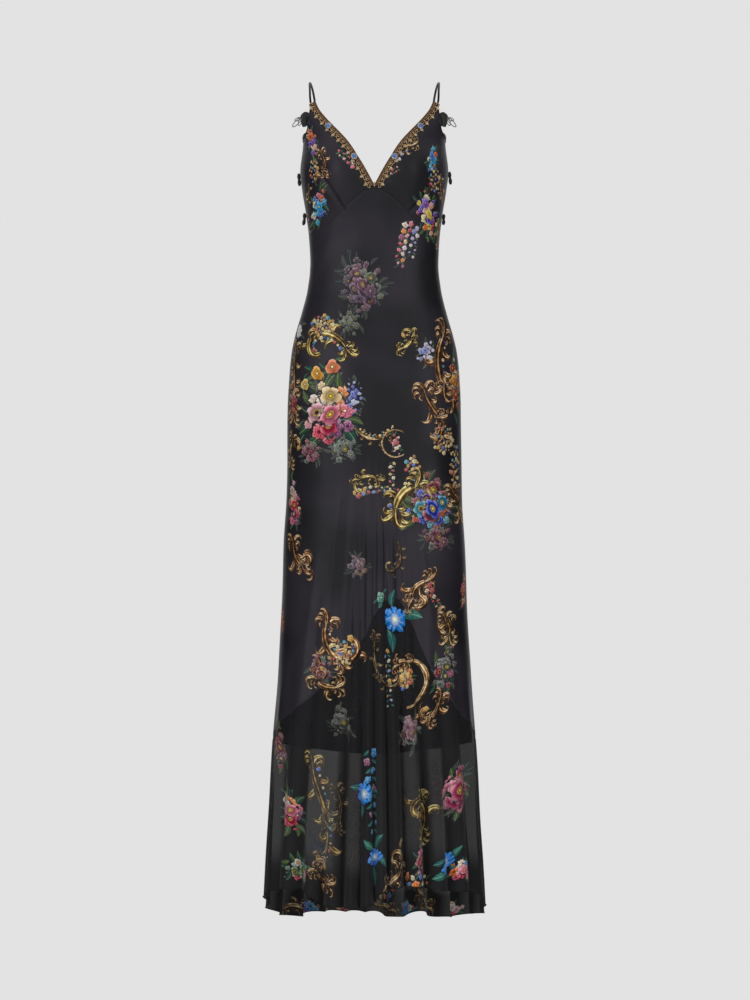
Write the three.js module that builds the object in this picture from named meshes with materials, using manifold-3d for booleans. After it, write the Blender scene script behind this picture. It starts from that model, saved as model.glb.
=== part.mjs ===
// A long slip dress, worn and hollow: V-necked cups with a beaded edge, a bias front and a low back,
// a fuller hem flounce under a pointed seam, thin straps, and short cord ends down the sides.
// Millimetres, +Z up. The front faces -Y. The origin lies midway between the tops of the two straps.
import * as THREE from "three";
import { mergeVertices } from "three/addons/utils/BufferGeometryUtils.js";
import Module from "manifold-3d";

const wasm = await Module();
wasm.setup();

// Driving sizes
const CLOTH = 1.5; // wall of every cloth piece
const SEAM_GAP = 0.3; // between neighbouring pieces
const ROUNDNESS = 2.3; // exponent of the superellipse sections, 2 is an ellipse
const TRIM_WIDTH = 17; // the beaded band along the neckline, seen from the front
const TRIM = 2.2; // its thickness
const TRIM_ANGLE = 7.5; // where the band's inner edge meets the seam under the cups
const STRAP_RADIUS = 2.1;
const END_RADIUS = 3.1; // the four short cord ends on the side seams
const UNDERARM_Z = -112; // lowest point of the armhole, on the side seam
const CUP_SIDE_Z = -283; // where the seam under the cups meets the side seam
const LOW_BACK_Z = -300; // lowest point of the back neckline

// Sections of the worn dress: half width and the depth in front of and behind the side seams
const SECTIONS = [
  { z: -30, half: 172, front: 76, back: 84 },
  { z: -50, half: 164, front: 81, back: 87 },
  { z: -75, half: 150, front: 86, back: 90 },
  { z: -95, half: 138, front: 90, back: 92 },
  { z: -112, half: 133, front: 92, back: 93 },
  { z: -168, half: 138.5, front: 97, back: 95 },
  { z: -205, half: 134.5, front: 95, back: 92 },
  { z: -245, half: 128, front: 89, back: 86 },
  { z: -300, half: 121.5, front: 82, back: 79 },
  { z: -340, half: 119.7, front: 80, back: 77 },
  { z: -385, half: 124.5, front: 84, back: 85 },
  { z: -430, half: 135, front: 90, back: 96 },
  { z: -475, half: 148, front: 96, back: 106 },
  { z: -505, half: 154.5, front: 99, back: 111 },
  { z: -550, half: 159.5, front: 102, back: 115 },
  { z: -610, half: 162.5, front: 104, back: 116 },
  { z: -700, half: 163, front: 106, back: 112 },
  { z: -780, half: 164.5, front: 107, back: 110 },
  { z: -860, half: 169, front: 110, back: 111 },
  { z: -970, half: 173, front: 114, back: 115 },
  { z: -1100, half: 180, front: 121, back: 125 },
  { z: -1230, half: 189, front: 131, back: 140 },
  { z: -1380, half: 196.5, front: 143, back: 158 },
  { z: -1600, half: 208, front: 158, back: 178 },
];

// The fullness of the bust, added to the sections in front
const BUST = { x: 70, z: -170, out: 24, wide: 36, tall: 44, fade: 0.35 };

// Folds of the skirt. angle: where the crest stands, 0 at the front centre and 180 at the back;
// top: the height where it starts; seam and hem: how far it stands out there; dip: depth of the
// valley that follows it, as a share of the crests beside it
const FOLDS = [
  { angle: -90, top: -1080, seam: 1.2, hem: 5, dip: 0.8 },
  { angle: -74, top: -1040, seam: 1.6, hem: 8, dip: 0.9 },
  { angle: -58, top: -980, seam: 2.2, hem: 11, dip: 0.8 },
  { angle: -42, top: -860, seam: 3.0, hem: 15, dip: 1.1 },
  { angle: -28, top: -900, seam: 2.4, hem: 11, dip: 1.2 },
  { angle: -16, top: -760, seam: 3.0, hem: 12, dip: 1.2 },
  { angle: -5, top: -700, seam: 2.6, hem: 10, dip: 1.2 },
  { angle: 5, top: -690, seam: 3.0, hem: 11, dip: 1.3 },
  { angle: 15, top: -800, seam: 3.4, hem: 13, dip: 1.4 },
  { angle: 28, top: -820, seam: 3.2, hem: 15, dip: 1.4 },
  { angle: 43, top: -900, seam: 2.6, hem: 13, dip: 1.1 },
  { angle: 58, top: -1000, seam: 2.0, hem: 11, dip: 0.9 },
  { angle: 74, top: -1060, seam: 1.6, hem: 8, dip: 0.8 },
  { angle: 90, top: -1080, seam: 1.2, hem: 5, dip: 0.8 },
  { angle: 106, top: -1000, seam: 2.0, hem: 9, dip: 1.0 },
  { angle: 121, top: -930, seam: 2.6, hem: 13, dip: 1.0 },
  { angle: 138, top: -860, seam: 3.2, hem: 16, dip: 1.1 },
  { angle: 153, top: -900, seam: 2.6, hem: 13, dip: 1.2 },
  { angle: 167, top: -820, seam: 3.4, hem: 15, dip: 1.2 },
  { angle: 180, top: -780, seam: 3.2, hem: 13, dip: 1.3 },
  { angle: 192, top: -800, seam: 3.0, hem: 14, dip: 1.2 },
  { angle: 205, top: -880, seam: 2.8, hem: 13, dip: 1.2 },
  { angle: 219, top: -860, seam: 3.2, hem: 16, dip: 1.1 },
  { angle: 235, top: -940, seam: 2.6, hem: 13, dip: 1.0 },
  { angle: 252, top: -1000, seam: 2.0, hem: 9, dip: 1.0 },
  { angle: 270, top: -1080, seam: 1.2, hem: 5, dip: 0.8 },
];
const FOLD_LEAN = 0.45; // how much wider the crests are than the valleys at the hem

// Seams and edges as [angle or x, height] rows
const CUP_SEAM = [[0, -198.5], [15, -207], [31, -218], [48, -234], [65, -250], [96, -270]]; // x, height
const NECKLINE = [
  [109, -41], [102, -56], [90.5, -71], [77, -86], [63, -101], [50.5, -115.6], [40, -130.6],
  [31, -145.6], [21.5, -160.5], [12.8, -175.5], [4, -191.5], [0.6, -197.5],
];
const ARMHOLE_FRONT = [[109, -41], [113.5, -43], [120.5, -63], [122.5, -80], [125, -93], [129, -102]];
const FLOUNCE_SEAM = [
  [-90, -1227], [-52, -1150], [-39, -1120], [-25, -1090], [-8, -1030], [10, -968],
  [20, -962], [31, -1005], [50, -1120], [68, -1180], [90, -1227],
];
const FLOUNCE_SEAM_BACK = [[90, -1227], [135, -1252], [180, -1264], [225, -1252], [270, -1227]];
const HEM = [
  [-90, -1522], [-62, -1500], [-45, -1498], [-36, -1524], [-14, -1530], [-2, -1524], [6, -1500],
  [24, -1490], [34, -1494], [46, -1500], [66, -1506], [90, -1538],
];
const HEM_BACK = [
  [90, -1538], [105, -1558], [118, -1563], [140, -1575], [152, -1566], [167, -1578], [180, -1567],
  [200, -1565], [214, -1564], [226, -1571], [238, -1567], [252, -1550], [270, -1522],
];
const WING_EDGE = [[90, -112], [80, -99], [71, -90], [62, -85]]; // angle from the back centre
const WING_TOP = [[62, -85], [58.5, -88], [55, -93]];
const STRAP_ARCH = [[113.5, -60, -24], [118, -40, -7], [120.8, -4, -2.1], [121, 32, -10], [119.5, 58, -34]];

// Stones on the band: where they stand on the neckline, as a share of its length from the strap down
const STONES = [{ name: "upper", share: 0.27 }, { name: "lower", share: 0.66 }];
const STONE_FROM_EDGE = 6.8;
const STONE_PROFILE = [[6.2, 0], [6.4, 1.3], [5.7, 2.2], [4.8, 1.8], [3.8, 3.0], [2.2, 3.8]];
const STONE_HEIGHT = 4.1;

// Cord ends on the side seams: top height, length and how far the foot swings out
const CORD_ENDS = [
  { name: "cord_end_left_upper", side: 1, top: -166, length: 23, swing: 3 },
  { name: "cord_end_left_lower", side: 1, top: -245, length: 20, swing: 1 },
  { name: "cord_end_right_upper", side: -1, top: -169, length: 23, swing: 0.5 },
  { name: "cord_end_right_lower", side: -1, top: -243, length: 22, swing: 5 },
];
// The two at the armholes curl over and have a thin tail beside them, as [x, y, z] rows
const TOP_END = [[122.8, -59.9, -67], [127.6, -60, -65], [130.8, -60.5, -73], [129.8, -60, -88]];
const TOP_TAIL = [[135.3, -60.2, -71], [142, -60, -79.5], [152, -60, -88]];
const TOP_END_RADIUS = 3.9;
const TAIL_RADIUS = 1.3;

const LOW_BACK = [[55, -93], [54, -118], [50, -160], [44, -208], [33, -258], [18, -288], [0, -300]];

// Grid sizes
const CUP_ROWS = 12;
const WING_ROWS = 3; // above the underarm
const FRONT_ROWS = 16;
const FLOUNCE_ROWS = 6;
const FLOUNCE_SPLIT = 3; // flounce columns in one column of the skirt above it

const degrees = (angle) => (angle * Math.PI) / 180;
const lerp = (a, b, t) => a + (b - a) * t;
const ease = (t) => {
  const k = Math.min(1, Math.max(0, t));
  return k * k * (3 - 2 * k);
};

// A smooth curve through [at, value] rows with rising "at", which never overshoots them
function curveAt(rows, at) {
  const last = rows.length - 1;
  const x = Math.min(rows[last][0], Math.max(rows[0][0], at));
  let i = 0;
  while (i < last - 1 && x > rows[i + 1][0]) i++;
  const slope = (k) => (rows[k + 1][1] - rows[k][1]) / (rows[k + 1][0] - rows[k][0]);
  const tangent = (k) => {
    if (k === 0) return slope(0);
    if (k === last) return slope(last - 1);
    const before = slope(k - 1);
    const after = slope(k);
    return before * after <= 0 ? 0 : (2 * before * after) / (before + after);
  };
  const width = rows[i + 1][0] - rows[i][0];
  const t = (x - rows[i][0]) / width;
  const [y0, y1] = [rows[i][1], rows[i + 1][1]];
  const [m0, m1] = [tangent(i) * width, tangent(i + 1) * width];
  return (
    (2 * t ** 3 - 3 * t ** 2 + 1) * y0 + (t ** 3 - 2 * t ** 2 + t) * m0 +
    (3 * t ** 2 - 2 * t ** 3) * y1 + (t ** 3 - t ** 2) * m1
  );
}

const byHeight = (key) => SECTIONS.map((s) => [-s.z, s[key]]);
const TABLE = { half: byHeight("half"), front: byHeight("front"), back: byHeight("back") };
const sectionAt = (z) => ({
  half: curveAt(TABLE.half, -z),
  front: curveAt(TABLE.front, -z),
  back: curveAt(TABLE.back, -z),
});

// The height of the seam above the flounce, and of the hem, at an angle from -90 to 270
const flounceSeamAt = (angle) => curveAt(angle <= 90 ? FLOUNCE_SEAM : FLOUNCE_SEAM_BACK, angle);
const hemAt = (angle) => curveAt(angle <= 90 ? HEM : HEM_BACK, angle);

// How far the folds carry the cloth outwards, and round the body in degrees
function foldAt(angle, z) {
  let i = 0;
  while (i < FOLDS.length - 2 && angle > FOLDS[i + 1].angle) i++;
  const [a, b] = [FOLDS[i], FOLDS[i + 1]];
  const spacing = b.angle - a.angle;
  const part = (angle - a.angle) / spacing;
  const mix = 0.5 - 0.5 * Math.cos(Math.PI * part);
  const seamZ = flounceSeamAt(angle);
  const rise = ease((lerp(a.top, b.top, mix) - z) / (lerp(a.top, b.top, mix) - seamZ));
  const drop = Math.max(0, Math.min(1, (seamZ - z) / (seamZ - hemAt(angle))));
  const seam = lerp(a.seam, b.seam, mix);
  const hem = lerp(a.hem, b.hem, mix);
  const height = seam * rise + (hem - seam) * drop;
  const valley = 1 + (a.dip - 1) * Math.sin(Math.PI * part) ** 2;
  const lean = FOLD_LEAN * (height / hem);
  return {
    out: height * valley * Math.cos(2 * Math.PI * part),
    turn: (lean * spacing * Math.sin(2 * Math.PI * part)) / (2 * Math.PI),
  };
}

// A point of the dress's outer surface
function surfaceAt(angle, z) {
  const fold = foldAt(angle, z);
  const s = sectionAt(z);
  const a = degrees(angle + fold.turn);
  const [sin, cos] = [Math.sin(a), Math.cos(a)];
  const depth = cos >= 0 ? s.front : s.back;
  const n = ROUNDNESS;
  const radius = (Math.abs(sin / s.half) ** n + Math.abs(cos / depth) ** n) ** (-1 / n);
  const [x, y] = [radius * sin, -radius * cos];
  const nx = Math.sign(x) * Math.abs(x / s.half) ** (n - 1) / s.half;
  const ny = Math.sign(y) * Math.abs(y / depth) ** (n - 1) / depth;
  const length = Math.hypot(nx, ny);
  const across = (Math.abs(x) - BUST.x) / BUST.wide;
  const up = (z - BUST.z) / BUST.tall;
  const bust = BUST.out * Math.exp(-0.5 * (across ** 2 + up ** 2)) * ease(cos / BUST.fade);
  return new THREE.Vector3(x + (fold.out * nx) / length, y + (fold.out * ny) / length - bust, z);
}

// The outward normal there
function normalAt(angle, z) {
  const round = surfaceAt(angle + 0.2, z).sub(surfaceAt(angle - 0.2, z));
  const up = surfaceAt(angle, z + 0.5).sub(surfaceAt(angle, z - 0.5));
  return round.cross(up).normalize();
}

// The angle from the front centre at which the section at height z is x wide
function angleAtX(x, z) {
  const s = sectionAt(z);
  const share = Math.min(1, Math.abs(x) / s.half) ** ROUNDNESS;
  const y = s.front * (1 - share) ** (1 / ROUNDNESS);
  return (Math.atan2(x, y) * 180) / Math.PI;
}

// A cloth panel being put together: points on the outer surface with their normals, and quads
class Panel {
  constructor() {
    this.points = [];
    this.normals = [];
    this.quads = [];
  }
  add(point, normal) {
    this.points.push(point);
    this.normals.push(normal);
    return this.points.length - 1;
  }
  on(angle, z) {
    // either side of the flounce seam the wall leans as it does on the seam itself
    const seam = flounceSeamAt(angle < -90.001 ? angle + 360 : angle);
    return this.add(surfaceAt(angle, z), normalAt(angle, Math.abs(z - seam) < 1 ? seam : z));
  }
  // grid is rows of point numbers, from the top down, each running towards +angle
  fill(grid) {
    for (let i = 0; i + 1 < grid.length; i++)
      for (let j = 0; j + 1 < grid[i].length; j++)
        this.quads.push([grid[i][j], grid[i + 1][j], grid[i + 1][j + 1], grid[i][j + 1]]);
  }
  // The closed wall: an outer skin, an inner one, and a strip along every open edge
  wall(thickness, lift = () => 0) {
    const count = this.points.length;
    const outer = this.points.map((p, i) => p.clone().addScaledVector(this.normals[i], lift(i)));
    const inner = this.points.map((p, i) => p.clone().addScaledVector(this.normals[i], -thickness));
    const corners = [...outer, ...inner];
    const faces = [];
    const edges = new Map();
    for (const [a, b, c, d] of this.quads) {
      faces.push([a, b, c], [a, c, d]);
      faces.push([count + a, count + c, count + b], [count + a, count + d, count + c]);
      for (const [from, to] of [[a, b], [b, c], [c, d], [d, a]]) {
        if (edges.has(`${to}-${from}`)) edges.delete(`${to}-${from}`);
        else edges.set(`${from}-${to}`, [from, to]);
      }
    }
    for (const [from, to] of edges.values())
      faces.push([to, from, count + from], [to, count + from, count + to]);
    const geometry = new THREE.BufferGeometry();
    geometry.setAttribute(
      "position",
      new THREE.Float32BufferAttribute(corners.flatMap((p) => p.toArray()), 3),
    );
    geometry.setIndex(faces.flat());
    return geometry;
  }
}

// A closed body through rings of points that turn right-handed along its axis
function closedRings(rings, start, end) {
  const sides = rings[0].length;
  const corners = [...rings.flat(), start, end];
  const faces = [];
  rings.forEach((ring, i) => {
    for (let k = 0; k < sides; k++) {
      const [a, b] = [i * sides + k, i * sides + ((k + 1) % sides)];
      if (i === 0) faces.push([b, a, corners.length - 2]);
      if (i === rings.length - 1) faces.push([a, b, corners.length - 1]);
      else faces.push([a, b, b + sides], [a, b + sides, a + sides]);
    }
  });
  const geometry = new THREE.BufferGeometry();
  const numbers = corners.flatMap((p) => p.toArray());
  geometry.setAttribute("position", new THREE.Float32BufferAttribute(numbers, 3));
  geometry.setIndex(faces.flat());
  return geometry;
}

const ringAround = (centre, u, v, radius, sides) =>
  Array.from({ length: sides }, (_, k) => {
    const a = (2 * Math.PI * k) / sides;
    return centre.clone().addScaledVector(u, radius * Math.cos(a)).addScaledVector(v, radius * Math.sin(a));
  });

// A round cord with softened ends along a curve through the points
function cord(points, radius, pieces, sides = 8) {
  const curve = new THREE.CatmullRomCurve3(points, false, "centripetal");
  const centres = curve.getSpacedPoints(pieces);
  const { tangents, normals, binormals } = curve.computeFrenetFrames(pieces);
  const rings = centres.map((centre, i) =>
    ringAround(centre, normals[i], binormals[i], i === 0 || i === pieces ? radius * 0.7 : radius, sides),
  );
  const tip = (i, sign) => centres[i].clone().addScaledVector(tangents[i], sign * radius * 0.3);
  return closedRings(rings, tip(0, -1), tip(pieces, 1));
}

const columnAngles = (from, to, n) => Array.from({ length: n + 1 }, (_, j) => lerp(from, to, j / n));

// Points along a line through [u, v] rows, at the given shares of its length
function spacedAt(rows, shares) {
  const run = [0];
  for (let i = 1; i < rows.length; i++)
    run.push(run[i - 1] + Math.hypot(rows[i][0] - rows[i - 1][0], rows[i][1] - rows[i - 1][1]));
  const along = (k) => rows.map((row, i) => [run[i], row[k]]);
  return shares.map((share) => {
    const at = run[run.length - 1] * share;
    return [curveAt(along(0), at), curveAt(along(1), at)];
  });
}
const spaced = (rows, n) => spacedAt(rows, columnAngles(0, 1, n));

// Fills a four-sided patch in [angle, height] from its edges. top and bottom run across it,
// left and right run down it, and neighbouring edges share their corners
function patch(top, bottom, left, right) {
  const [rows, columns] = [left.length - 1, top.length - 1];
  return left.map((_, i) =>
    top.map((__, j) => {
      const [s, t] = [i / rows, j / columns];
      return [0, 1].map(
        (k) =>
          lerp(left[i][k], right[i][k], t) + lerp(top[j][k], bottom[j][k], s) -
          lerp(lerp(top[0][k], top[columns][k], t), lerp(bottom[0][k], bottom[columns][k], t), s),
      );
    }),
  );
}

const sideStep = (z) => (SEAM_GAP * 0.6 * 180) / Math.PI / sectionAt(z).half;
// A column on the crest and in the valley of every fold between two angles
const foldColumns = (from, to) => {
  const crests = FOLDS.map((fold) => fold.angle).filter((angle) => angle >= from && angle <= to);
  return crests.flatMap((a, i) => (i === 0 ? [a] : [(crests[i - 1] + a) / 2, a]));
};
const FRONT_COLUMNS = [...foldColumns(-90, 90), -TRIM_ANGLE, TRIM_ANGLE].sort((a, b) => a - b);
const BACK_COLUMNS = foldColumns(90, 270);
const cupSeamAngles = [
  ...CUP_SEAM.map(([x, z]) => [angleAtX(x, z), z]),
  [90, CUP_SIDE_Z],
];
const cupSeamAt = (angle) => curveAt(cupSeamAngles, Math.abs(angle));
const sideRows = columnAngles(UNDERARM_Z, CUP_SIDE_Z, CUP_ROWS);

const TRIM_COLUMNS = 2;
const ARMHOLE_SHARE = 0.2; // of the armhole edge covered by the band's upper end
const toAngles = (rows) => rows.map(([x, z]) => [angleAtX(x, z), z]);

// The point of the neckline at row i, moved away from the opening by a width seen from the front
function besideNeckline(neckline, i, width) {
  const [before, here, after] = [Math.max(0, i - 1), i, Math.min(neckline.length - 1, i + 1)].map((k) =>
    surfaceAt(...neckline[k]),
  );
  const run = after.sub(before);
  const length = Math.hypot(run.x, run.z);
  const [x, z] = [here.x - (run.z / length) * width, here.z + (run.x / length) * width];
  return [angleAtX(x, z), z];
}

// One cup as [angle, height] rows, from the neckline across to the side seam. side is 1 for the
// wearer's left, +X, and -1 for the right. Its foot shares the columns of the front below it
function cupPatch(side) {
  const foot = FRONT_COLUMNS.map((angle) => side * angle).filter((angle) => angle >= 0);
  foot.sort((a, b) => a - b);
  const neckline = spaced(toAngles(NECKLINE), CUP_ROWS);
  const seam = foot.map((angle) => [angle, cupSeamAt(angle)]);
  seam[0] = neckline[CUP_ROWS];
  const armholeRows = [...toAngles(ARMHOLE_FRONT), [90, UNDERARM_Z]];
  const band = [1, 2].map((column) =>
    neckline.map((_, i) => {
      const part = foot[column] / TRIM_ANGLE;
      if (i === 0) return spacedAt(armholeRows, [ARMHOLE_SHARE * part])[0];
      return i === CUP_ROWS ? seam[column] : besideNeckline(neckline, i, TRIM_WIDTH * part);
    }),
  );
  const shares = columnAngles(ARMHOLE_SHARE, 1, foot.length - 1 - TRIM_COLUMNS);
  const rest = patch(
    spacedAt(armholeRows, shares),
    seam.slice(TRIM_COLUMNS),
    band[1],
    sideRows.map((z) => [90, z]),
  );
  return rest.map((row, i) => [neckline[i], band[0][i], ...row]);
}

// The cup and the band on it, from the same points
function cupAndTrim(side) {
  const rows = cupPatch(side);
  const grid = (panel, columns) => {
    const points = rows.map((row, i) =>
      row.slice(0, columns).map(([angle, z], j) =>
        panel.on(
          side * (j === row.length - 1 ? angle - sideStep(z) : angle),
          i === rows.length - 1 ? z + SEAM_GAP : z,
        ),
      ),
    );
    panel.fill(side > 0 ? points : points.map((row) => row.reverse()));
  };
  const [cup, trim] = [new Panel(), new Panel()];
  grid(cup, rows[0].length);
  grid(trim, TRIM_COLUMNS + 1);
  return [cup.wall(CLOTH), trim.wall(-SEAM_GAP, () => SEAM_GAP + TRIM)];
}

// A round stone in its ring, standing on the band
function stone(side, share) {
  const neckline = spaced(toAngles(NECKLINE), 100);
  const [angle, z] = besideNeckline(neckline, Math.round(100 * share), STONE_FROM_EDGE);
  const axis = normalAt(side * angle, z);
  const foot = surfaceAt(side * angle, z).addScaledVector(axis, 2.6 * SEAM_GAP + TRIM);
  const u = new THREE.Vector3(0, 0, 1).cross(axis).normalize();
  const v = axis.clone().cross(u);
  const rings = STONE_PROFILE.map(([radius, up]) =>
    ringAround(foot.clone().addScaledVector(axis, up), u, v, radius, 18),
  );
  return closedRings(rings, foot, foot.clone().addScaledVector(axis, STONE_HEIGHT));
}

// A strap: inside the tip of the cup, over the shoulder, and down inside the top of the wing
function strap(side) {
  const inside = (angle, z) =>
    surfaceAt(angle, z).addScaledVector(normalAt(angle, z), -(CLOTH + 2 * SEAM_GAP + STRAP_RADIUS));
  const front = [-58, -49, -41].map((z) => inside(angleAtX(112, z), z));
  const back = [-70, -84, -97].map((z) => inside(180 - 58.5, z));
  const over = STRAP_ARCH.map((row) => new THREE.Vector3(...row));
  const points = [...front, ...over, ...back];
  points.forEach((p) => (p.x *= side));
  return cord(points, STRAP_RADIUS, 36);
}

const behindSeam = (side, z, out) => {
  const angle = side > 0 ? 94 : 266;
  return surfaceAt(angle, z).addScaledVector(normalAt(angle, z), out);
};

function cordEnd({ side, top, length, swing }) {
  const clear = SEAM_GAP + END_RADIUS;
  const points = [0, 0.5, 1].map((t) => behindSeam(side, top - length * t, clear + swing * t ** 2));
  return cord(points, END_RADIUS, 5);
}

const fromRows = (rows, side) => rows.map(([x, y, z]) => new THREE.Vector3(side * x, y, z));

// Rows of [angle, height] for the given angles, from a top to a bottom edge
function rowsBetween(angles, topAt, bottomAt, count) {
  return columnAngles(0, 1, count).map((t) =>
    angles.map((angle) => [angle, lerp(topAt(angle), bottomAt(angle), t)]),
  );
}

// The steeper the flounce seam runs, the wider its gap is measured straight down
const seamAllowance = (angle) => {
  const run = degrees(1) * 150;
  const slope = (flounceSeamAt(angle + 0.5) - flounceSeamAt(angle - 0.5)) / run;
  return SEAM_GAP * Math.hypot(1, slope);
};

function frontPanel() {
  const panel = new Panel();
  const topAt = (angle) => cupSeamAt(angle) - SEAM_GAP;
  const bottomAt = (angle) => flounceSeamAt(angle) + seamAllowance(angle);
  const rows = rowsBetween(FRONT_COLUMNS, topAt, bottomAt, FRONT_ROWS);
  const inset = (angle, z) => (Math.abs(angle) === 90 ? angle - Math.sign(angle) * sideStep(z) : angle);
  panel.fill(rows.map((row) => row.map(([angle, z]) => panel.on(inset(angle, z), z))));
  return panel.wall(CLOTH);
}

// The back in one piece, with a wing up each side of its low neckline
function backPanel() {
  const panel = new Panel();
  const startAt = (angle) => lerp(CUP_SIDE_Z, LOW_BACK_Z, 1 - Math.abs(angle - 180) / 90);
  const edge = [...spaced(WING_EDGE, WING_ROWS).reverse(), ...sideRows.slice(1).map((z) => [90, z])];
  const neckline = spaced(LOW_BACK, edge.length - 1);
  const inset = (angle, z) => {
    if (angle <= 90.01) return angle + sideStep(z);
    return angle >= 269.99 ? angle - sideStep(z) : angle;
  };
  const place = ([angle, z]) => panel.on(inset(angle, z), z);
  const wing = (side) => {
    const columns = BACK_COLUMNS.map((angle) => side * (180 - angle)).filter((angle) => angle >= 0);
    columns.sort((a, b) => b - a);
    const bottom = columns.map((angle) => [angle, startAt(180 - angle)]);
    return patch(spaced(WING_TOP, columns.length - 1), bottom, edge, neckline);
  };
  const right = wing(1).map((row) => row.map(([angle, z]) => place([180 - angle, z])));
  const lastRow = right[right.length - 1];
  const centre = lastRow[lastRow.length - 1];
  const left = wing(-1).map((row, i, all) =>
    row
      .map(([angle, z], j) =>
        i === all.length - 1 && j === row.length - 1 ? centre : place([180 + angle, z]),
      )
      .reverse(),
  );
  panel.fill(right);
  panel.fill(left);
  const bottomAt = (angle) => flounceSeamAt(angle) + seamAllowance(angle);
  const rows = rowsBetween(BACK_COLUMNS, startAt, bottomAt, FRONT_ROWS).slice(1);
  panel.fill([[...lastRow, ...left[left.length - 1].slice(1)], ...rows.map((row) => row.map(place))]);
  return panel.wall(CLOTH);
}

// The flounce from one side seam to the other. Its top edge follows the flat facets above it
function flounce(columns) {
  const panel = new Panel();
  const [from, to] = [columns[0], columns[columns.length - 1]];
  const angles = columns.flatMap((a, i) =>
    i === 0 ? [a] : columnAngles(columns[i - 1], a, FLOUNCE_SPLIT).slice(1),
  );
  const inset = (angle, z) => {
    if (angle === from) return angle + sideStep(z);
    return angle === to ? angle - sideStep(z) : angle;
  };
  const topZ = (angle) => flounceSeamAt(angle) - seamAllowance(angle);
  const top = angles.map((_, j) => {
    const [i, part] = [Math.floor(j / FLOUNCE_SPLIT), (j % FLOUNCE_SPLIT) / FLOUNCE_SPLIT];
    const ends = [columns[i], columns[Math.min(i + 1, columns.length - 1)]];
    const [p, q] = ends.map((angle) => surfaceAt(inset(angle, topZ(angle)), topZ(angle)));
    const [n, m] = ends.map((angle) => normalAt(inset(angle, topZ(angle)), flounceSeamAt(angle)));
    return panel.add(p.lerp(q, part), n.lerp(m, part).normalize());
  });
  const rows = rowsBetween(angles, topZ, hemAt, FLOUNCE_ROWS).slice(1);
  panel.fill([top, ...rows.map((row) => row.map(([angle, z]) => panel.on(inset(angle, z), z)))]);
  return panel.wall(CLOTH);
}

const group = new THREE.Group();
const SATIN = { color: 0x17171b, roughness: 0.35, metalness: 0 };
const CHIFFON = { color: 0x222224, roughness: 0.7, metalness: 0 };
const CORDING = { color: 0x0d0d0f, roughness: 0.5, metalness: 0 };
const BEADING = { color: 0xb08a45, roughness: 0.35, metalness: 0.6 };
const STONE = { color: 0x2f7fa8, roughness: 0.15, metalness: 0.1 };
const place = (name, geometry, finish) => {
  const mesh = new THREE.Mesh(geometry, new THREE.MeshStandardMaterial(finish));
  mesh.name = name;
  group.add(mesh);
};
for (const [side, word] of [[1, "left"], [-1, "right"]]) {
  const [cup, trim] = cupAndTrim(side);
  place(`cup_${word}`, cup, SATIN);
  place(`neck_trim_${word}`, trim, BEADING);
  for (const { name, share } of STONES) place(`stone_${word}_${name}`, stone(side, share), STONE);
  place(`strap_${word}`, strap(side), CORDING);
  place(`cord_end_${word}_top`, cord(fromRows(TOP_END, side), TOP_END_RADIUS, 8), CORDING);
  place(`cord_tail_${word}`, cord(fromRows(TOP_TAIL, side), TAIL_RADIUS, 6), CORDING);
}
for (const end of CORD_ENDS) place(end.name, cordEnd(end), CORDING);
place("front_panel", frontPanel(), SATIN);
place("back_panel", backPanel(), SATIN);
place("flounce_front", flounce(FRONT_COLUMNS), CHIFFON);
place("flounce_back", flounce(BACK_COLUMNS), CHIFFON);
export default group;
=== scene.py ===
# %% [markdown]
# # A beaded slip dress with a sheer flounce
# The dress is black printed satin down to a pointed seam, and printed chiffon below it. It is shown
# worn and filled out, with nobody in it, so every panel is a thin open sheet bent round a hollow.
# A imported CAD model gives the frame: its solids say where each piece goes and how large it is.
# This script dresses that frame, and never changes its sizes.

# %% Load the frame and keep its box
import math
import bmesh
import bpy
import numpy as np
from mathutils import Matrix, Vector


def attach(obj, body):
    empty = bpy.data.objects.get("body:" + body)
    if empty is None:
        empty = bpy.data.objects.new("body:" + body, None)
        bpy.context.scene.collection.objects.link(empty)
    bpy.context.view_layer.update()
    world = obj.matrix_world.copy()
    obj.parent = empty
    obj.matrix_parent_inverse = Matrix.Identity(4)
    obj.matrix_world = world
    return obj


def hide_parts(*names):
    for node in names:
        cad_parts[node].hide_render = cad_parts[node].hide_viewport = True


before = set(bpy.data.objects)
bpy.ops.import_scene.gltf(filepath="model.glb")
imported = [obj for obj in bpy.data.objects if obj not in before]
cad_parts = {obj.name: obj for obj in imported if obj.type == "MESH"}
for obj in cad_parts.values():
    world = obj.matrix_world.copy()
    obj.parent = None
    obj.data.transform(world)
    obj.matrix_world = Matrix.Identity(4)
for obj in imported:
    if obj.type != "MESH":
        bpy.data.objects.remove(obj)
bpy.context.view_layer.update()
MM = 0.001
print("nodes in the frame:", len(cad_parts))

# %% [markdown]
# ## Camera, floor and light
# A long lens from eight metres, level with the middle of the dress, gives the straight-on look of a
# garment photographed for a shop. The lens is worked out from the size of a pixel on the dress.
# The sky and the floor, which is laid near the end, are the same pale grey, so the floor has no
# visible end. Three large soft lamps give the satin its faint gloss, and a black board out of view
# on each side keeps its outline dark.

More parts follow.
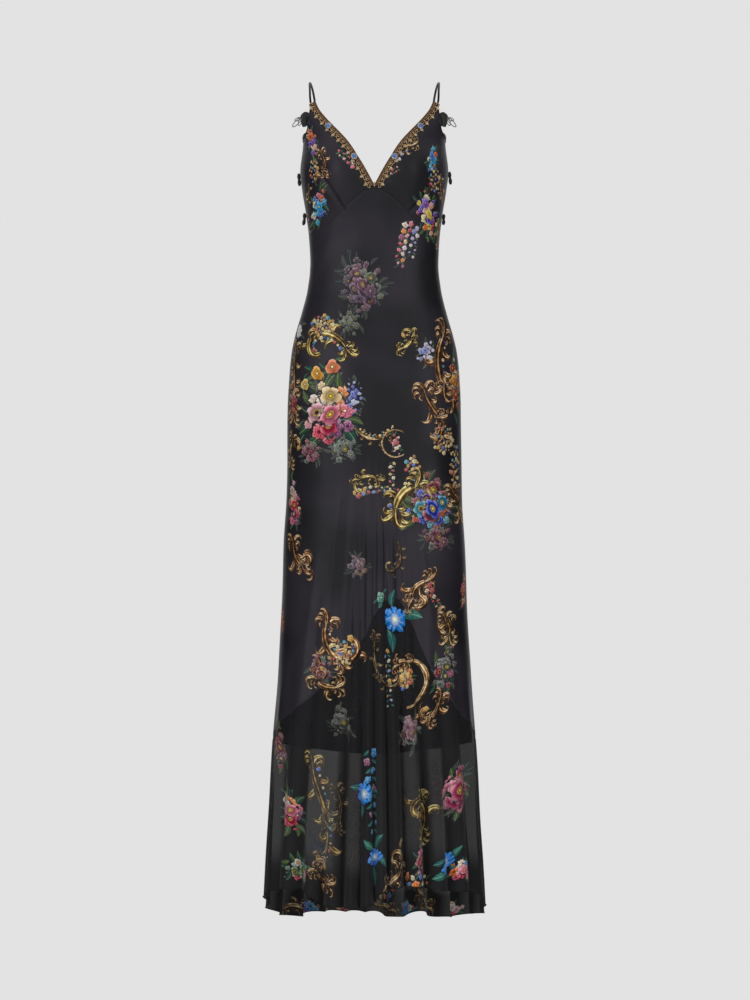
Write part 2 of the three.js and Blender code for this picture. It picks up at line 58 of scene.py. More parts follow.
# %% Camera
PIXEL = 1.87 * MM  # size of one pixel at the side seams
FRAME_TALL = 1000  # pixels
DISTANCE = 8.0
PICTURE_MIDDLE = (1.3, -780.4)  # millimetres, across and up
SENSOR = 36  # millimetres
camera_data = bpy.data.cameras.new("camera")
camera_data.sensor_fit = "VERTICAL"
camera_data.sensor_height = SENSOR
camera_data.lens = SENSOR * DISTANCE / (PIXEL * FRAME_TALL)
camera = bpy.data.objects.new("camera", camera_data)
camera.location = (PICTURE_MIDDLE[0] * MM, -DISTANCE, PICTURE_MIDDLE[1] * MM)
camera.rotation_euler = (math.radians(90), 0, 0)
scene = bpy.context.scene
scene.collection.objects.link(camera)
scene.camera = camera
scene.view_settings.view_transform = "Standard"
print("lens", round(camera_data.lens), "mm")

# %% Sky, lamps and boards
PALE_GREY = (0.767, 0.767, 0.767, 1)
sky = bpy.data.worlds.new("studio")
sky.use_nodes = True
sky.node_tree.nodes["Background"].inputs["Color"].default_value = PALE_GREY
sky.node_tree.nodes["Background"].inputs["Strength"].default_value = 1.0
scene.world = sky


def soft_lamp(name, place, aim, size, power):
    lamp = bpy.data.lights.new(name, "AREA")
    lamp.shape = "RECTANGLE"
    lamp.size, lamp.size_y, lamp.energy = size[0], size[1], power
    shown = bpy.data.objects.new(name, lamp)
    shown.location = place
    shown.rotation_euler = (Vector(aim) - Vector(place)).to_track_quat("-Z", "Y").to_euler()
    scene.collection.objects.link(shown)


soft_lamp("key", (-2.6, -3.2, 0.6), (0, 0, -0.7), (0.9, 2.6), 36)
soft_lamp("fill", (2.8, -2.8, 0.2), (0, 0, -0.8), (0.9, 2.6), 20)
soft_lamp("back", (0.0, 2.6, 1.2), (0, 0, -0.8), (2.0, 1.0), 14)


def dark_flag(side):
    """A black board beside the dress keeps its outline dark, as in shop photographs."""
    mesh = bpy.data.meshes.new("flag")
    x = side * 0.66
    corners = [(x, -0.45, -1.75), (x, 0.7, -1.75), (x, 0.7, 0.1), (x, -0.45, 0.1)]
    mesh.from_pydata(corners, [], [(0, 1, 2, 3)])
    flag = bpy.data.objects.new("flag", mesh)
    flag.visible_camera = False
    scene.collection.objects.link(flag)
    return flag


flags = [dark_flag(-1), dark_flag(1)]

# %% [markdown]
# ## Writing shader sums as ordinary sums
# A shader is a graph, and a graph of fifty Math nodes is hard to read. Here a small class stands for
# one value on its way between nodes, and Python's own operators add the Math nodes. The result in the
# file is the same plain node tree.

# %% Shader shorthand
def add(tree, kind, inputs=None, **settings):
    node = tree.nodes.new(kind)
    for key, value in settings.items():
        setattr(node, key, value)
    for key, value in (inputs or {}).items():
        if isinstance(value, Wire):
            tree.links.new(value.socket, node.inputs[key])
        else:
            node.inputs[key].default_value = value
    return node


class Wire:
    def __init__(self, tree, socket):
        self.tree, self.socket = tree, socket

    def math(self, operation, *others, clamp=False):
        values = dict(enumerate((self,) + others))
        node = add(self.tree, "ShaderNodeMath", values, operation=operation, use_clamp=clamp)
        return Wire(self.tree, node.outputs[0])

    def __add__(self, other):
        return self.math("ADD", other)

    def __sub__(self, other):
        return self.math("SUBTRACT", other)

    def __mul__(self, other):
        return self.math("MULTIPLY", other)

    def __truediv__(self, other):
        return self.math("DIVIDE", other)

    def __pow__(self, other):
        return self.math("POWER", other)

    def less_from(self, whole):
        return (self * -1.0) + whole

    def clamp(self):
        return self.math("MULTIPLY", 1.0, clamp=True)


def mix(factor, a, b):
    tree = next(w.tree for w in (factor, a, b) if isinstance(w, Wire))
    node = add(tree, "ShaderNodeMix", {0: factor, 6: a, 7: b}, data_type="RGBA")
    return Wire(tree, node.outputs[2])


def shader_group(name, inputs, outputs):
    tree = bpy.data.node_groups.new(name, "ShaderNodeTree")
    for title, kind in inputs:
        tree.interface.new_socket(title, in_out="INPUT", socket_type=kind)
    for title, kind in outputs:
        tree.interface.new_socket(title, in_out="OUTPUT", socket_type=kind)
    entry, leave = tree.nodes.new("NodeGroupInput"), tree.nodes.new("NodeGroupOutput")
    return tree, {title: Wire(tree, entry.outputs[title]) for title, _ in inputs}, leave


def finish_group(tree, leave, **results):
    for title, wire in results.items():
        tree.links.new(wire.socket, leave.inputs[title])
    print(tree.name, "shader group:", len(tree.nodes), "nodes")


FLOAT, COLOR, VECTOR = "NodeSocketFloat", "NodeSocketColor", "NodeSocketVector"


def paint(code):
    """A colour written as RRGGBB, as the linear values that Blender uses."""
    parts = [int(code[i : i + 2], 16) / 255 for i in (0, 2, 4)]
    return tuple(c / 12.92 if c <= 0.04045 else ((c + 0.055) / 1.055) ** 2.4 for c in parts) + (1.0,)


# %% [markdown]
# ## The print: a flower
# Flowers of this print are painted one by one. Each face of the cloth knows where it lies on its
# nearest flower, as a place from -1 to 1, so a shader can draw the flower there as sharply as the
# picture asks, however coarse the mesh is. The flower is three rings of petals in polar
# coordinates: a cosine of the angle gives the petals, and the distance from the middle the shading.

# %% Flower shader
def flower_group():
    tree, given, leave = shader_group(
        "flower",
        [("Place", VECTOR), ("Tint", COLOR), ("Strength", FLOAT), ("Heart", COLOR), ("Star", FLOAT)],
        [("Color", COLOR), ("Cover", FLOAT)],
    )
    place = add(tree, "ShaderNodeSeparateXYZ", {0: given["Place"]})
    x, y, kind = (Wire(tree, place.outputs[i]) for i in range(3))
    petals = kind.math("FLOOR")
    seed = kind.math("FRACT") * 40.0
    spot = add(tree, "ShaderNodeCombineXYZ", {0: x * 1.7 + seed, 1: y * 1.7, 2: seed})
    blot = add(tree, "ShaderNodeTexNoise", {"Vector": Wire(tree, spot.outputs[0]), "Scale": 1.0, "Detail": 3.0})
    wobble = Wire(tree, blot.outputs[0]) - 0.5
    far = ((x * x) + (y * y)).math("SQRT")
    r = far * (wobble * 0.7 + 1.04)
    angle = y.math("ARCTAN2", x) + wobble * 1.6
    lit = (y * 0.55 - x * 0.35 + 0.72).clamp()
    opened = (given["Star"] * -1.0).clamp()
    starry = given["Star"].clamp()
    dark = mix(0.86, given["Tint"], (0.012, 0.004, 0.01, 1))
    pale = mix(starry * -0.4 + 0.6, given["Tint"], (1, 0.96, 0.9, 1))
    color, cover = (0.004, 0.003, 0.004, 1), None
    for ring, (reach, ruffle) in enumerate(((0.96, 0.36), (0.70, 0.28), (0.42, 0.2))):
        lobe = ((angle * ((petals + float(ring)) * 0.5)) + seed * (ring + 1.0)).math("COSINE").math("ABSOLUTE")
        edge = lobe**0.45 * ruffle + (reach - ruffle)
        q = r / edge
        inside = (q.less_from(1.0) * 14.0).clamp()
        inside = inside * opened.less_from(1.0) if ring else inside
        fan = add(tree, "ShaderNodeCombineXYZ", {0: angle * 3.6, 1: q * 1.2, 2: seed + ring})
        grain = add(tree, "ShaderNodeTexNoise", {"Vector": Wire(tree, fan.outputs[0]), "Scale": 2.6, "Detail": 3.0})
        streak = Wire(tree, grain.outputs[0]) * 1.7 + 0.1
        light = (q**1.8 * 0.85 + 0.12) * (lobe**0.5 * 0.75 + 0.25) * streak * (lit * 0.9 + 0.45)
        shaded = mix(light.clamp(), dark, given["Tint"])
        rim = ((q - 0.62) * 2.6).clamp() * lobe * (lit * 0.85)
        color = mix(inside, color, mix(rim, shaded, pale))
        cover = inside if cover is None else cover
    star = (r * -2.0 + 1.05).clamp() * starry
    rays = ((angle * (petals * 0.5)) + seed).math("COSINE").math("ABSOLUTE") ** 6.0 * (r * -1.1 + 1.0).clamp()
    color = mix(star.math("MAXIMUM", rays * starry * 0.75), color, (0.92, 0.95, 0.86, 1))
    throat = (r * -2.4 + 1.25).clamp() * ((angle * 8.0).math("SINE") * 0.3 + 0.75) * opened
    color = mix(throat.clamp(), color, (0.035, 0.008, 0.02, 1))
    stamens = ((r - 0.27).math("ABSOLUTE") * -9.0 + 1.0).clamp() * (angle * 7.0).math("COSINE").math("ABSOLUTE") ** 3.0
    color = mix((stamens * opened * 1.6).clamp(), color, (0.62, 0.5, 0.12, 1))
    heart = ((r * -1.0 + 0.15) * 20.0).clamp()
    color = mix(heart, color, given["Heart"])
    deep = add(tree, "ShaderNodeHueSaturation", {"Saturation": 1.12, "Value": 1.03, "Color": color})
    color = Wire(tree, deep.outputs[0])
    shadow = ((far * -1.0 + 1.0) * 7.0).clamp() * 0.55
    finish_group(tree, leave, Color=color, Cover=cover.math("MAXIMUM", shadow) * given["Strength"])
    return tree


FLOWER = flower_group()

# %% [markdown]
# ## The print: a leaf
# A leaf is a lens shape with a pale rib down the middle and side veins slanting towards its tip. It
# uses the same trick as the flower: a place from -1 to 1 along the leaf, and across it.

# %% Leaf shader
def leaf_group():
    tree, given, leave = shader_group(
        "leaf",
        [("Place", VECTOR), ("Tint", COLOR), ("Strength", FLOAT)],
        [("Color", COLOR), ("Cover", FLOAT)],
    )
    place = add(tree, "ShaderNodeSeparateXYZ", {0: given["Place"]})
    x, y, kind = (Wire(tree, place.outputs[i]) for i in range(3))
    y = y + (x * x) * 0.22 - 0.08
    side = y.math("ABSOLUTE")
    teeth = ((x - side) * 22.0).math("SINE") * 0.03
    half = ((x * x).less_from(1.0).clamp() ** 0.9) * 0.4 + teeth
    cover = ((half - side) * 16.0).clamp() * (x.math("ABSOLUTE").less_from(1.0) * 20.0).clamp()
    vein = ((x - side * 1.4) * 15.0).math("SINE") * 0.22 + 0.78
    blade = (y * kind + 0.5).clamp()
    light = (blade * 0.7 + 0.22) * vein
    rib = (side * -18.0 + 1.0).clamp() * 0.55
    dark = mix(0.85, given["Tint"], (0.004, 0.008, 0.007, 1))
    pale = mix(0.45, given["Tint"], (0.75, 0.85, 0.6, 1))
    finish_group(tree, leave, Color=mix(rib, mix(light, dark, given["Tint"]), pale), Cover=cover * given["Strength"])
    return tree


LEAF = leaf_group()

# %% [markdown]
# ## The print: gold scrollwork
# The scrolls are long curled strokes. Each face near a stroke knows how far along it lies and how far
# across, so ridges can run along the stroke and its edge can wave a little, as on carved gilding. It
# knows its heading too, so the painted light comes from one side whichever way a stroke turns.

# %% Scroll shader
GOLD_STEPS = [(0.0, "120b07"), (0.3, "46301c"), (0.55, "8c6a42"), (0.78, "d3b684"), (1.0, "fdf5dc")]


def gold_ramp(tree, value):
    node = add(tree, "ShaderNodeValToRGB", {0: value})
    steps = node.color_ramp.elements
    while len(steps) < len(GOLD_STEPS):
        steps.new(0.5)
    for step, (at, code) in zip(steps, GOLD_STEPS):
        step.position, step.color = at, paint(code)
    return Wire(tree, node.outputs[0])


def scroll_group():
    tree, given, leave = shader_group(
        "scroll", [("Place", VECTOR), ("Tint", COLOR), ("Strength", FLOAT)], [("Color", COLOR), ("Cover", FLOAT)]
    )
    place = add(tree, "ShaderNodeSeparateXYZ", {0: given["Place"]})
    along, across, heading = (Wire(tree, place.outputs[i]) for i in range(3))
    side = across.math("ABSOLUTE")
    wave = (along * 0.85 - side * 0.9).math("SINE")
    cover = ((wave * 0.09 + 0.92 - side) * 6.0).clamp()
    upward = heading.math("COSINE") * 0.8 + heading.math("SINE") * 0.5
    relief = across * upward * 0.42
    ridges = (across * 7.4 + wave * 0.35).math("COSINE") * 0.5 + 0.5
    glint = (heading * 2.0 + along * 0.22 - 1.1).math("COSINE") * 0.17
    spot = add(tree, "ShaderNodeCombineXYZ", {0: along * 0.42, 1: across * 0.7, 2: heading * 0.3})
    blot = add(tree, "ShaderNodeTexNoise", {"Vector": Wire(tree, spot.outputs[0]), "Scale": 1.7, "Detail": 2.0})
    uneven = (Wire(tree, blot.outputs[0]) - 0.42) * 1.3
    light = relief + ridges**1.3 * 0.5 + uneven + glint + 0.2 - side**3.0 * 0.5
    colors = {0: 1.0, 6: gold_ramp(tree, light.clamp()), 7: given["Tint"]}
    toned = add(tree, "ShaderNodeMix", colors, data_type="RGBA", blend_type="MULTIPLY")
    finish_group(tree, leave, Color=Wire(tree, toned.outputs[2]), Cover=cover * given["Strength"])
    return tree


SCROLL = scroll_group()

# %% [markdown]
# ## All layers of the print together
# From the back to the front: leaves, the lower flowers, the scrolls, the upper flowers. Two layers of
# flowers let neighbours overlap. The cloth's back shows the print faintly, as thin cloth does.

# %% The printed colour of the cloth
def printed(tree, ground, hidden):
    """Returns the cloth's colour and how much of it the print covers. Its back hides part of the print."""

    def stored(name):
        node = add(tree, "ShaderNodeAttribute", attribute_name=name)
        return Wire(tree, node.outputs["Vector"]), Wire(tree, node.outputs["Color"]), Wire(tree, node.outputs["Alpha"])

    def laid(group, values, under, covered):
        node = add(tree, "ShaderNodeGroup", node_tree=group)
        for title, value in values.items():
            tree.links.new(value.socket, node.inputs[title])
        color, cover = Wire(tree, node.outputs["Color"]), Wire(tree, node.outputs["Cover"])
        return mix(cover, under, color), covered.math("MAXIMUM", cover)

    def flowers(layer, under, covered):
        place, (_, tint, strength), (_, heart, star) = (
            stored(layer + "_place")[0], stored(layer + "_tint"), stored(layer + "_heart"),
        )
        values = {"Place": place, "Tint": tint, "Strength": strength, "Heart": heart, "Star": star}
        return laid(FLOWER, values, under, covered)

    _, tint, strength = stored("leaf_tint")
    nothing = strength * 0.0
    color, cover = laid(LEAF, {"Place": stored("leaf_place")[0], "Tint": tint, "Strength": strength}, ground, nothing)
    color, cover = flowers("under", color, cover)
    values = dict(zip(("Tint", "Strength"), stored("scroll_tint")[1:]), Place=stored("scroll_place")[0])
    color, cover = laid(SCROLL, values, color, cover)
    color, cover = flowers("over", color, cover)
    behind = Wire(tree, add(tree, "ShaderNodeNewGeometry").outputs["Backfacing"])
    return mix(behind * hidden, color, ground), cover * (behind * -hidden + 1.0)


def fine_weave(tree, pitch, height):
    """Threads across each other, as a height, in the cloth's own metres."""
    lie = Wire(tree, add(tree, "ShaderNodeUVMap", uv_map="cloth").outputs[0])
    parts = add(tree, "ShaderNodeSeparateXYZ", {0: lie})
    u, v = Wire(tree, parts.outputs[0]), Wire(tree, parts.outputs[1])
    turn = 2 * math.pi / pitch
    threads = ((u + v) * turn).math("SINE") * 0.5 + ((u - v) * turn).math("SINE") * 0.3
    ripple = add(tree, "ShaderNodeTexNoise", {"Vector": lie, "Scale": 26.0, "Detail": 2.0})
    pulled = add(tree, "ShaderNodeCombineXYZ", {0: u * 70.0 + v * 18.0, 1: v * 16.0})
    drawn = add(tree, "ShaderNodeTexNoise", {"Vector": Wire(tree, pulled.outputs[0]), "Scale": 1.0, "Detail": 3.0})
    waves = threads * (height * 0.12) + Wire(tree, ripple.outputs[0]) * height
    rise = waves + Wire(tree, drawn.outputs[0]) * (height * 0.8)
    return Wire(tree, add(tree, "ShaderNodeBump", {"Height": rise, "Strength": 0.35, "Distance": 1.0}).outputs[0])


def material(name):
    made = bpy.data.materials.new(name)
    made.use_nodes = True
    tree = made.node_tree
    return made, tree, tree.nodes["Principled BSDF"]


def join(tree, shader, **inputs):
    for key, value in inputs.items():
        socket = shader.inputs[key.replace("_", " ")]
        if isinstance(value, Wire):
            tree.links.new(value.socket, socket)
        else:
            socket.default_value = value


# %% Satin and chiffon
SATIN_DARK, SATIN_PALE, CLOUD_SCALE = "201f23", "302d34", 5.5
CHIFFON_GROUND, SHEER_COVER = "202022", 0.79  # how opaque one plain layer of chiffon is
SATIN_HIDES, CHIFFON_HIDES = 0.8, 0.35  # how much of the print the cloth's back hides
SATIN_WEAVE, CHIFFON_WEAVE = (0.0005, 0.0004), (0.0012, 0.0002)  # pitch and height, metres


def satin_material():
    made, tree, shader = material("printed_satin")
    where = Wire(tree, add(tree, "ShaderNodeTexCoord").outputs["Object"])
    clouds = add(tree, "ShaderNodeTexNoise", {"Vector": where, "Scale": CLOUD_SCALE, "Detail": 2.0})
    cloud = Wire(tree, clouds.outputs[0])
    ground = mix(((cloud - 0.38) * 6.0).clamp(), paint(SATIN_DARK), paint(SATIN_PALE))
    color, cover = printed(tree, ground, SATIN_HIDES)
    join(tree, shader, Base_Color=color, Roughness=cover * 0.12 + 0.4, Normal=fine_weave(tree, *SATIN_WEAVE))
    shader.inputs["Specular IOR Level"].default_value = 0.14
    shader.inputs["Sheen Weight"].default_value = 0.02
    shader.inputs["Sheen Roughness"].default_value = 0.4
    return made


def chiffon_material():
    made, tree, shader = material("printed_chiffon")
    color, cover = printed(tree, paint(CHIFFON_GROUND), CHIFFON_HIDES)
    folded = Wire(tree, add(tree, "ShaderNodeAttribute", attribute_name="folded").outputs["Fac"])
    sheer = (folded * 0.17 + cover * 0.08 + SHEER_COVER).clamp()
    join(tree, shader, Base_Color=color, Alpha=sheer, Normal=fine_weave(tree, *CHIFFON_WEAVE))
    shader.inputs["Roughness"].default_value = 0.75
    shader.inputs["Specular IOR Level"].default_value = 0.08
    shader.inputs["Sheen Weight"].default_value = 0.06
    shader.inputs["Sheen Roughness"].default_value = 0.5
    return made


SATIN, CHIFFON = satin_material(), chiffon_material()

# %% [markdown]
# ## The dress's own shape
# The form is the same as the CAD solids': oval sections at named heights, a swelling for the bust,
# and folds that grow towards the hem. A monotone curve through each table never overshoots, so a
# waist stays a waist. The lengths here are millimetres, and turn into metres at the end.

# %% Sizes of the form
SECTIONS = np.array([  # height, half width, depth in front, depth behind
    (-30, 172, 76, 84), (-50, 164, 81, 87), (-75, 150, 86, 90), (-95, 138, 90, 92), (-112, 133, 92, 93),
    (-168, 138.5, 97, 95), (-205, 134.5, 95, 92), (-245, 128, 89, 86), (-300, 121.5, 82, 79),
    (-340, 119.7, 80, 77), (-385, 124.5, 84, 85), (-430, 135, 90, 96), (-475, 148, 96, 106),
    (-505, 154.5, 99, 111), (-550, 159.5, 102, 115), (-610, 162.5, 104, 116), (-700, 163, 106, 112),
    (-780, 164.5, 107, 110), (-860, 169, 110, 111), (-970, 173, 114, 115), (-1100, 180, 121, 125),
    (-1230, 189, 131, 140), (-1380, 196.5, 143, 158), (-1600, 208, 158, 178),
], float)
ROUNDNESS = 2.3
BUST = dict(x=70, z=-170, out=24, wide=36, tall=44, fade=0.35)
FOLDS = np.array([  # angle, height where it starts, size at the seam, size at the hem, dip
    (-90, -1080, 1.2, 5, 0.8), (-74, -1040, 1.6, 8, 0.9), (-58, -980, 2.2, 11, 0.8), (-42, -860, 3.0, 15, 1.1),
    (-28, -900, 2.4, 11, 1.2), (-16, -760, 3.0, 12, 1.2), (-5, -700, 2.6, 10, 1.2), (5, -690, 3.0, 11, 1.3),
    (15, -800, 3.4, 13, 1.4), (28, -820, 3.2, 15, 1.4), (43, -900, 2.6, 13, 1.1), (58, -1000, 2.0, 11, 0.9),
    (74, -1060, 1.6, 8, 0.8), (90, -1080, 1.2, 5, 0.8), (106, -1000, 2.0, 9, 1.0), (121, -930, 2.6, 13, 1.0),
    (138, -860, 3.2, 16, 1.1), (153, -900, 2.6, 13, 1.2), (167, -820, 3.4, 15, 1.2), (180, -780, 3.2, 13, 1.3),
    (192, -800, 3.0, 14, 1.2), (205, -880, 2.8, 13, 1.2), (219, -860, 3.2, 16, 1.1), (235, -940, 2.6, 13, 1.0),
    (252, -1000, 2.0, 9, 1.0), (270, -1080, 1.2, 5, 0.8),
], float)
FOLD_LEAN = 0.45
FLOUNCE_SEAM = [
    (-90, -1227), (-52, -1150), (-39, -1120), (-25, -1090), (-8, -1030), (10, -968), (20, -962),
    (31, -1005), (50, -1120), (68, -1180), (90, -1227),
]
FLOUNCE_SEAM_BACK = [(90, -1227), (135, -1252), (180, -1264), (225, -1252), (270, -1227)]
HEM = [
    (-90, -1522), (-62, -1500), (-45, -1498), (-36, -1524), (-14, -1530), (-2, -1524), (6, -1500),
    (24, -1490), (34, -1494), (46, -1500), (66, -1506), (90, -1538),
]
HEM_BACK = [
    (90, -1538), (105, -1558), (118, -1563), (140, -1575), (152, -1566), (167, -1578), (180, -1567),
    (200, -1565), (214, -1564), (226, -1571), (238, -1567), (252, -1550), (270, -1522),
]

# %% Smooth curves through a table
def through(rows, at):
    rows = np.asarray(rows, float)
    x, y = rows[:, 0], rows[:, 1]
    step = np.diff(x)
    slope = np.diff(y) / step
    tangent = np.concatenate([slope[:1], np.zeros(len(x) - 2), slope[-1:]])
    before, after = slope[:-1], slope[1:]
    same = before * after > 0
    tangent[1:-1][same] = 2 * before[same] * after[same] / (before[same] + after[same])
    at = np.clip(at, x[0], x[-1])
    i = np.clip(np.searchsorted(x, at, side="right") - 1, 0, len(x) - 2)
    t = (at - x[i]) / step[i]
    return (
        (2 * t**3 - 3 * t**2 + 1) * y[i] + (t**3 - 2 * t**2 + t) * step[i] * tangent[i]
        + (3 * t**2 - 2 * t**3) * y[i + 1] + (t**3 - t**2) * step[i] * tangent[i + 1]
    )


def section(z, column):
    return through(np.column_stack([-SECTIONS[:, 0], SECTIONS[:, column]]), -z)


def flounce_seam(angle):
    return np.where(angle <= 90, through(FLOUNCE_SEAM, angle), through(FLOUNCE_SEAM_BACK, angle))


def hem(angle):
    return np.where(angle <= 90, through(HEM, angle), through(HEM_BACK, angle))


def ease(t):
    t = np.clip(t, 0, 1)
    return t * t * (3 - 2 * t)


# %% Folds, and the outer surface
def folds(angle, z):
    i = np.clip(np.searchsorted(FOLDS[:, 0], angle, side="left") - 1, 0, len(FOLDS) - 2)
    a, b = FOLDS[i], FOLDS[i + 1]
    spacing = b[..., 0] - a[..., 0]
    part = (angle - a[..., 0]) / spacing
    blend = 0.5 - 0.5 * np.cos(np.pi * part)
    top, seam_size, hem_size = (a[..., k] + (b[..., k] - a[..., k]) * blend for k in (1, 2, 3))
    dip = a[..., 4]
    seam = flounce_seam(angle)
    rise = ease((top - z) / (top - seam))
    drop = np.clip((seam - z) / (seam - hem(angle)), 0, 1)
    height = seam_size * rise + (hem_size - seam_size) * drop
    valley = 1 + (dip - 1) * np.sin(np.pi * part) ** 2
    lean = FOLD_LEAN * height / hem_size
    out = height * valley * np.cos(2 * np.pi * part)
    return out, lean * spacing * np.sin(2 * np.pi * part) / (2 * np.pi)


def outer(angle, z, extra=0.0):
    """The dress's outer surface in millimetres; extra stands it out further."""
    angle, z = np.broadcast_arrays(np.asarray(angle, float), np.asarray(z, float))
    wrapped = np.where(angle < -90.001, angle + 360, angle)
    out, turn = folds(wrapped, z)
    a = np.radians(angle + turn)
    sin, cos = np.sin(a), np.cos(a)
    half = section(z, 1)
    depth = np.where(cos >= 0, section(z, 2), section(z, 3))
    radius = (np.abs(sin / half) ** ROUNDNESS + np.abs(cos / depth) ** ROUNDNESS) ** (-1 / ROUNDNESS)
    x, y = radius * sin, -radius * cos
    nx = np.sign(x) * np.abs(x / half) ** (ROUNDNESS - 1) / half
    ny = np.sign(y) * np.abs(y / depth) ** (ROUNDNESS - 1) / depth
    length = np.hypot(nx, ny)
    across, up = (np.abs(x) - BUST["x"]) / BUST["wide"], (z - BUST["z"]) / BUST["tall"]
    bust = BUST["out"] * np.exp(-0.5 * (across**2 + up**2)) * ease(cos / BUST["fade"])
    out = out + extra
    return np.stack([x + out * nx / length, y + out * ny / length - bust, z], axis=-1)


def outward(angle, z):
    turn = outer(angle + 0.2, z) - outer(angle - 0.2, z)
    up = outer(angle, z + 0.5) - outer(angle, z - 0.5)
    normal = np.cross(turn, up)
    return normal / np.linalg.norm(normal, axis=-1, keepdims=True)


def angle_at(x, z):
    """The angle from the front centre where the section at height z is x wide."""
    half, depth = section(np.asarray(z, float), 1), section(np.asarray(z, float), 2)
    share = np.minimum(1, np.abs(x) / half) ** ROUNDNESS
    return np.degrees(np.arctan2(x, depth * (1 - share) ** (1 / ROUNDNESS)))


print("waist half width", float(section(np.array(-340.0), 1)), "mm")

# %% [markdown]
# ## Creases that the pattern doesn't explain
# Satin cut on the bias also pulls and relaxes. These marks are placed one by one, each as a line on the
# dress seen straight on, with a width and a height: above zero it stands out as a soft ridge, and below
# zero it sinks in, as along a bust dart. The back gets marks of the same kind.

# %% Crease tables
CREASES_FRONT = [  # points (x, z), width, height
    ([(-101, -176), (-80, -208), (-57, -243)], 3.2, -3.9), ([(-106, -186), (-88, -214)], 9, 1.6),
    ([(65, -248), (97, -217), (107, -178)], 3.2, -3.6), ([(-117, -150), (-119, -235)], 4, 0.8),
    ([(-28, -192), (-44, -214), (-62, -232)], 7, 1.2), ([(30, -196), (60, -226)], 7, 1.2),
    ([(61, -253), (58, -330), (60, -406)], 5, 0.5), ([(-70, -268), (-98, -330), (-112, -352)], 9, 1.0),
    ([(100, -262), (112, -322), (108, -360)], 8, 1.0), ([(-20, -300), (-26, -420), (-22, -520)], 26, 0.8),
    ([(-110, -420), (-60, -470), (-10, -486)], 14, 0.8), ([(120, -436), (70, -480), (20, -500)], 14, 0.8),
    ([(-130, -520), (-90, -640), (-84, -760)], 20, 1.6), ([(92, -560), (112, -700), (118, -840)], 20, 1.6),
    ([(-16, -690), (-22, -840), (-28, -1000)], 8, -2.4), ([(-44, -730), (-56, -880), (-64, -1060)], 8, -2.2),
    ([(-60, -760), (-76, -900), (-88, -1080)], 6, 1.8), ([(8, -700), (12, -820), (20, -950)], 7, 2.4),
    ([(30, -700), (40, -830), (52, -960)], 8, -2.6), ([(50, -780), (66, -900), (84, -1060)], 9, 2.2),
    ([(84, -860), (104, -980), (124, -1130)], 9, 2.2), ([(-104, -880), (-120, -1010), (-132, -1150)], 10, 2.0),
    ([(34, -962), (36, -1040), (34, -1130)], 4, -3.2), ([(50, -980), (54, -1060), (58, -1150)], 5, -2.6),
    ([(42, -970), (45, -1060), (46, -1170)], 4, 2.6), ([(20, -980), (22, -1100), (26, -1220)], 5, 2.0),
]
CREASES_BACK = [
    ([(0, -330), (0, -420)], 22, 1.0), ([(96, -300), (60, -392), (30, -430)], 12, 1.0),
    ([(-98, -305), (-64, -396), (-28, -436)], 12, 1.0), ([(0, -470), (2, -640), (-2, -760)], 14, -1.8),
    ([(-110, -560), (-84, -640), (-40, -690)], 16, 1.3), ([(112, -556), (80, -646), (44, -696)], 16, 1.3),
    ([(-46, -740), (-56, -900), (-62, -1080)], 9, 2.0), ([(50, -760), (60, -920), (68, -1100)], 9, 2.0),
    ([(-20, -760), (-24, -960), (-30, -1160)], 8, -2.2), ([(24, -770), (28, -960), (30, -1170)], 8, -2.2),
    ([(-100, -860), (-116, -1010), (-128, -1180)], 11, 2.0), ([(104, -880), (120, -1020), (134, -1190)], 11, 2.0),
]


def off_line(points, x, z):
    """Distance from a bent line."""
    nearest = np.full(x.shape, 1e6)
    for (x0, z0), (x1, z1) in zip(points[:-1], points[1:]):
        run = np.array([x1 - x0, z1 - z0], float)
        t = np.clip(((x - x0) * run[0] + (z - z0) * run[1]) / (run @ run), 0, 1)
        nearest = np.minimum(nearest, np.hypot(x - x0 - t * run[0], z - z0 - t * run[1]))
    return nearest


def creased(spots, normals):
    x, z, behind = spots[..., 0], spots[..., 2], spots[..., 1] > 0
    rise = 0.7 * np.sin(z / 47 + x / 31) * np.sin(x / 22 - z / 90) * np.clip((-z - 320) / 200, 0, 1)
    for table, side in ((CREASES_FRONT, ~behind), (CREASES_BACK, behind)):
        for points, wide, high in table:
            tall = abs(points[-1][1] - points[0][1]) / 2
            middle = (points[-1][1] + points[0][1]) / 2
            fade = 1 - np.clip((np.abs(z - middle) / (tall + wide)), 0, 1) ** 6
            rise = rise + side * high * fade * np.exp(-((off_line(points, x, z) / wide) ** 2))
    return spots + rise[..., None] * normals


# %% [markdown]
# ## Laying out the print
# The print is a design of its own, in the colours and at the scale of a dark baroque floral: bouquets,
# sprays and gilt scrolls on black, with plain ground between them. A bouquet is an oval filled along
# a golden-angle spiral, the way seeds sit in a sunflower, with large blooms in the middle and leaves
# round the rim. A scroll is a line whose bend grows along it, which makes it curl up at its end.
# All places are millimetres of cloth: across from the middle, and up.

# %% Millimetres of cloth
ANGLES, HEIGHTS = np.arange(-92.0, 273.0), np.arange(-1600.0, -30.0, 5.0)
ROUND = outer(ANGLES[None, :], HEIGHTS[:, None])[..., :2]
RUN = np.concatenate(
    [np.zeros((len(HEIGHTS), 1)), np.cumsum(np.linalg.norm(np.diff(ROUND, axis=1), axis=-1), axis=1)], axis=1
)
ACROSS = {side: RUN - RUN[:, ANGLES == middle] for side, middle in (("front", 0), ("back", 180))}


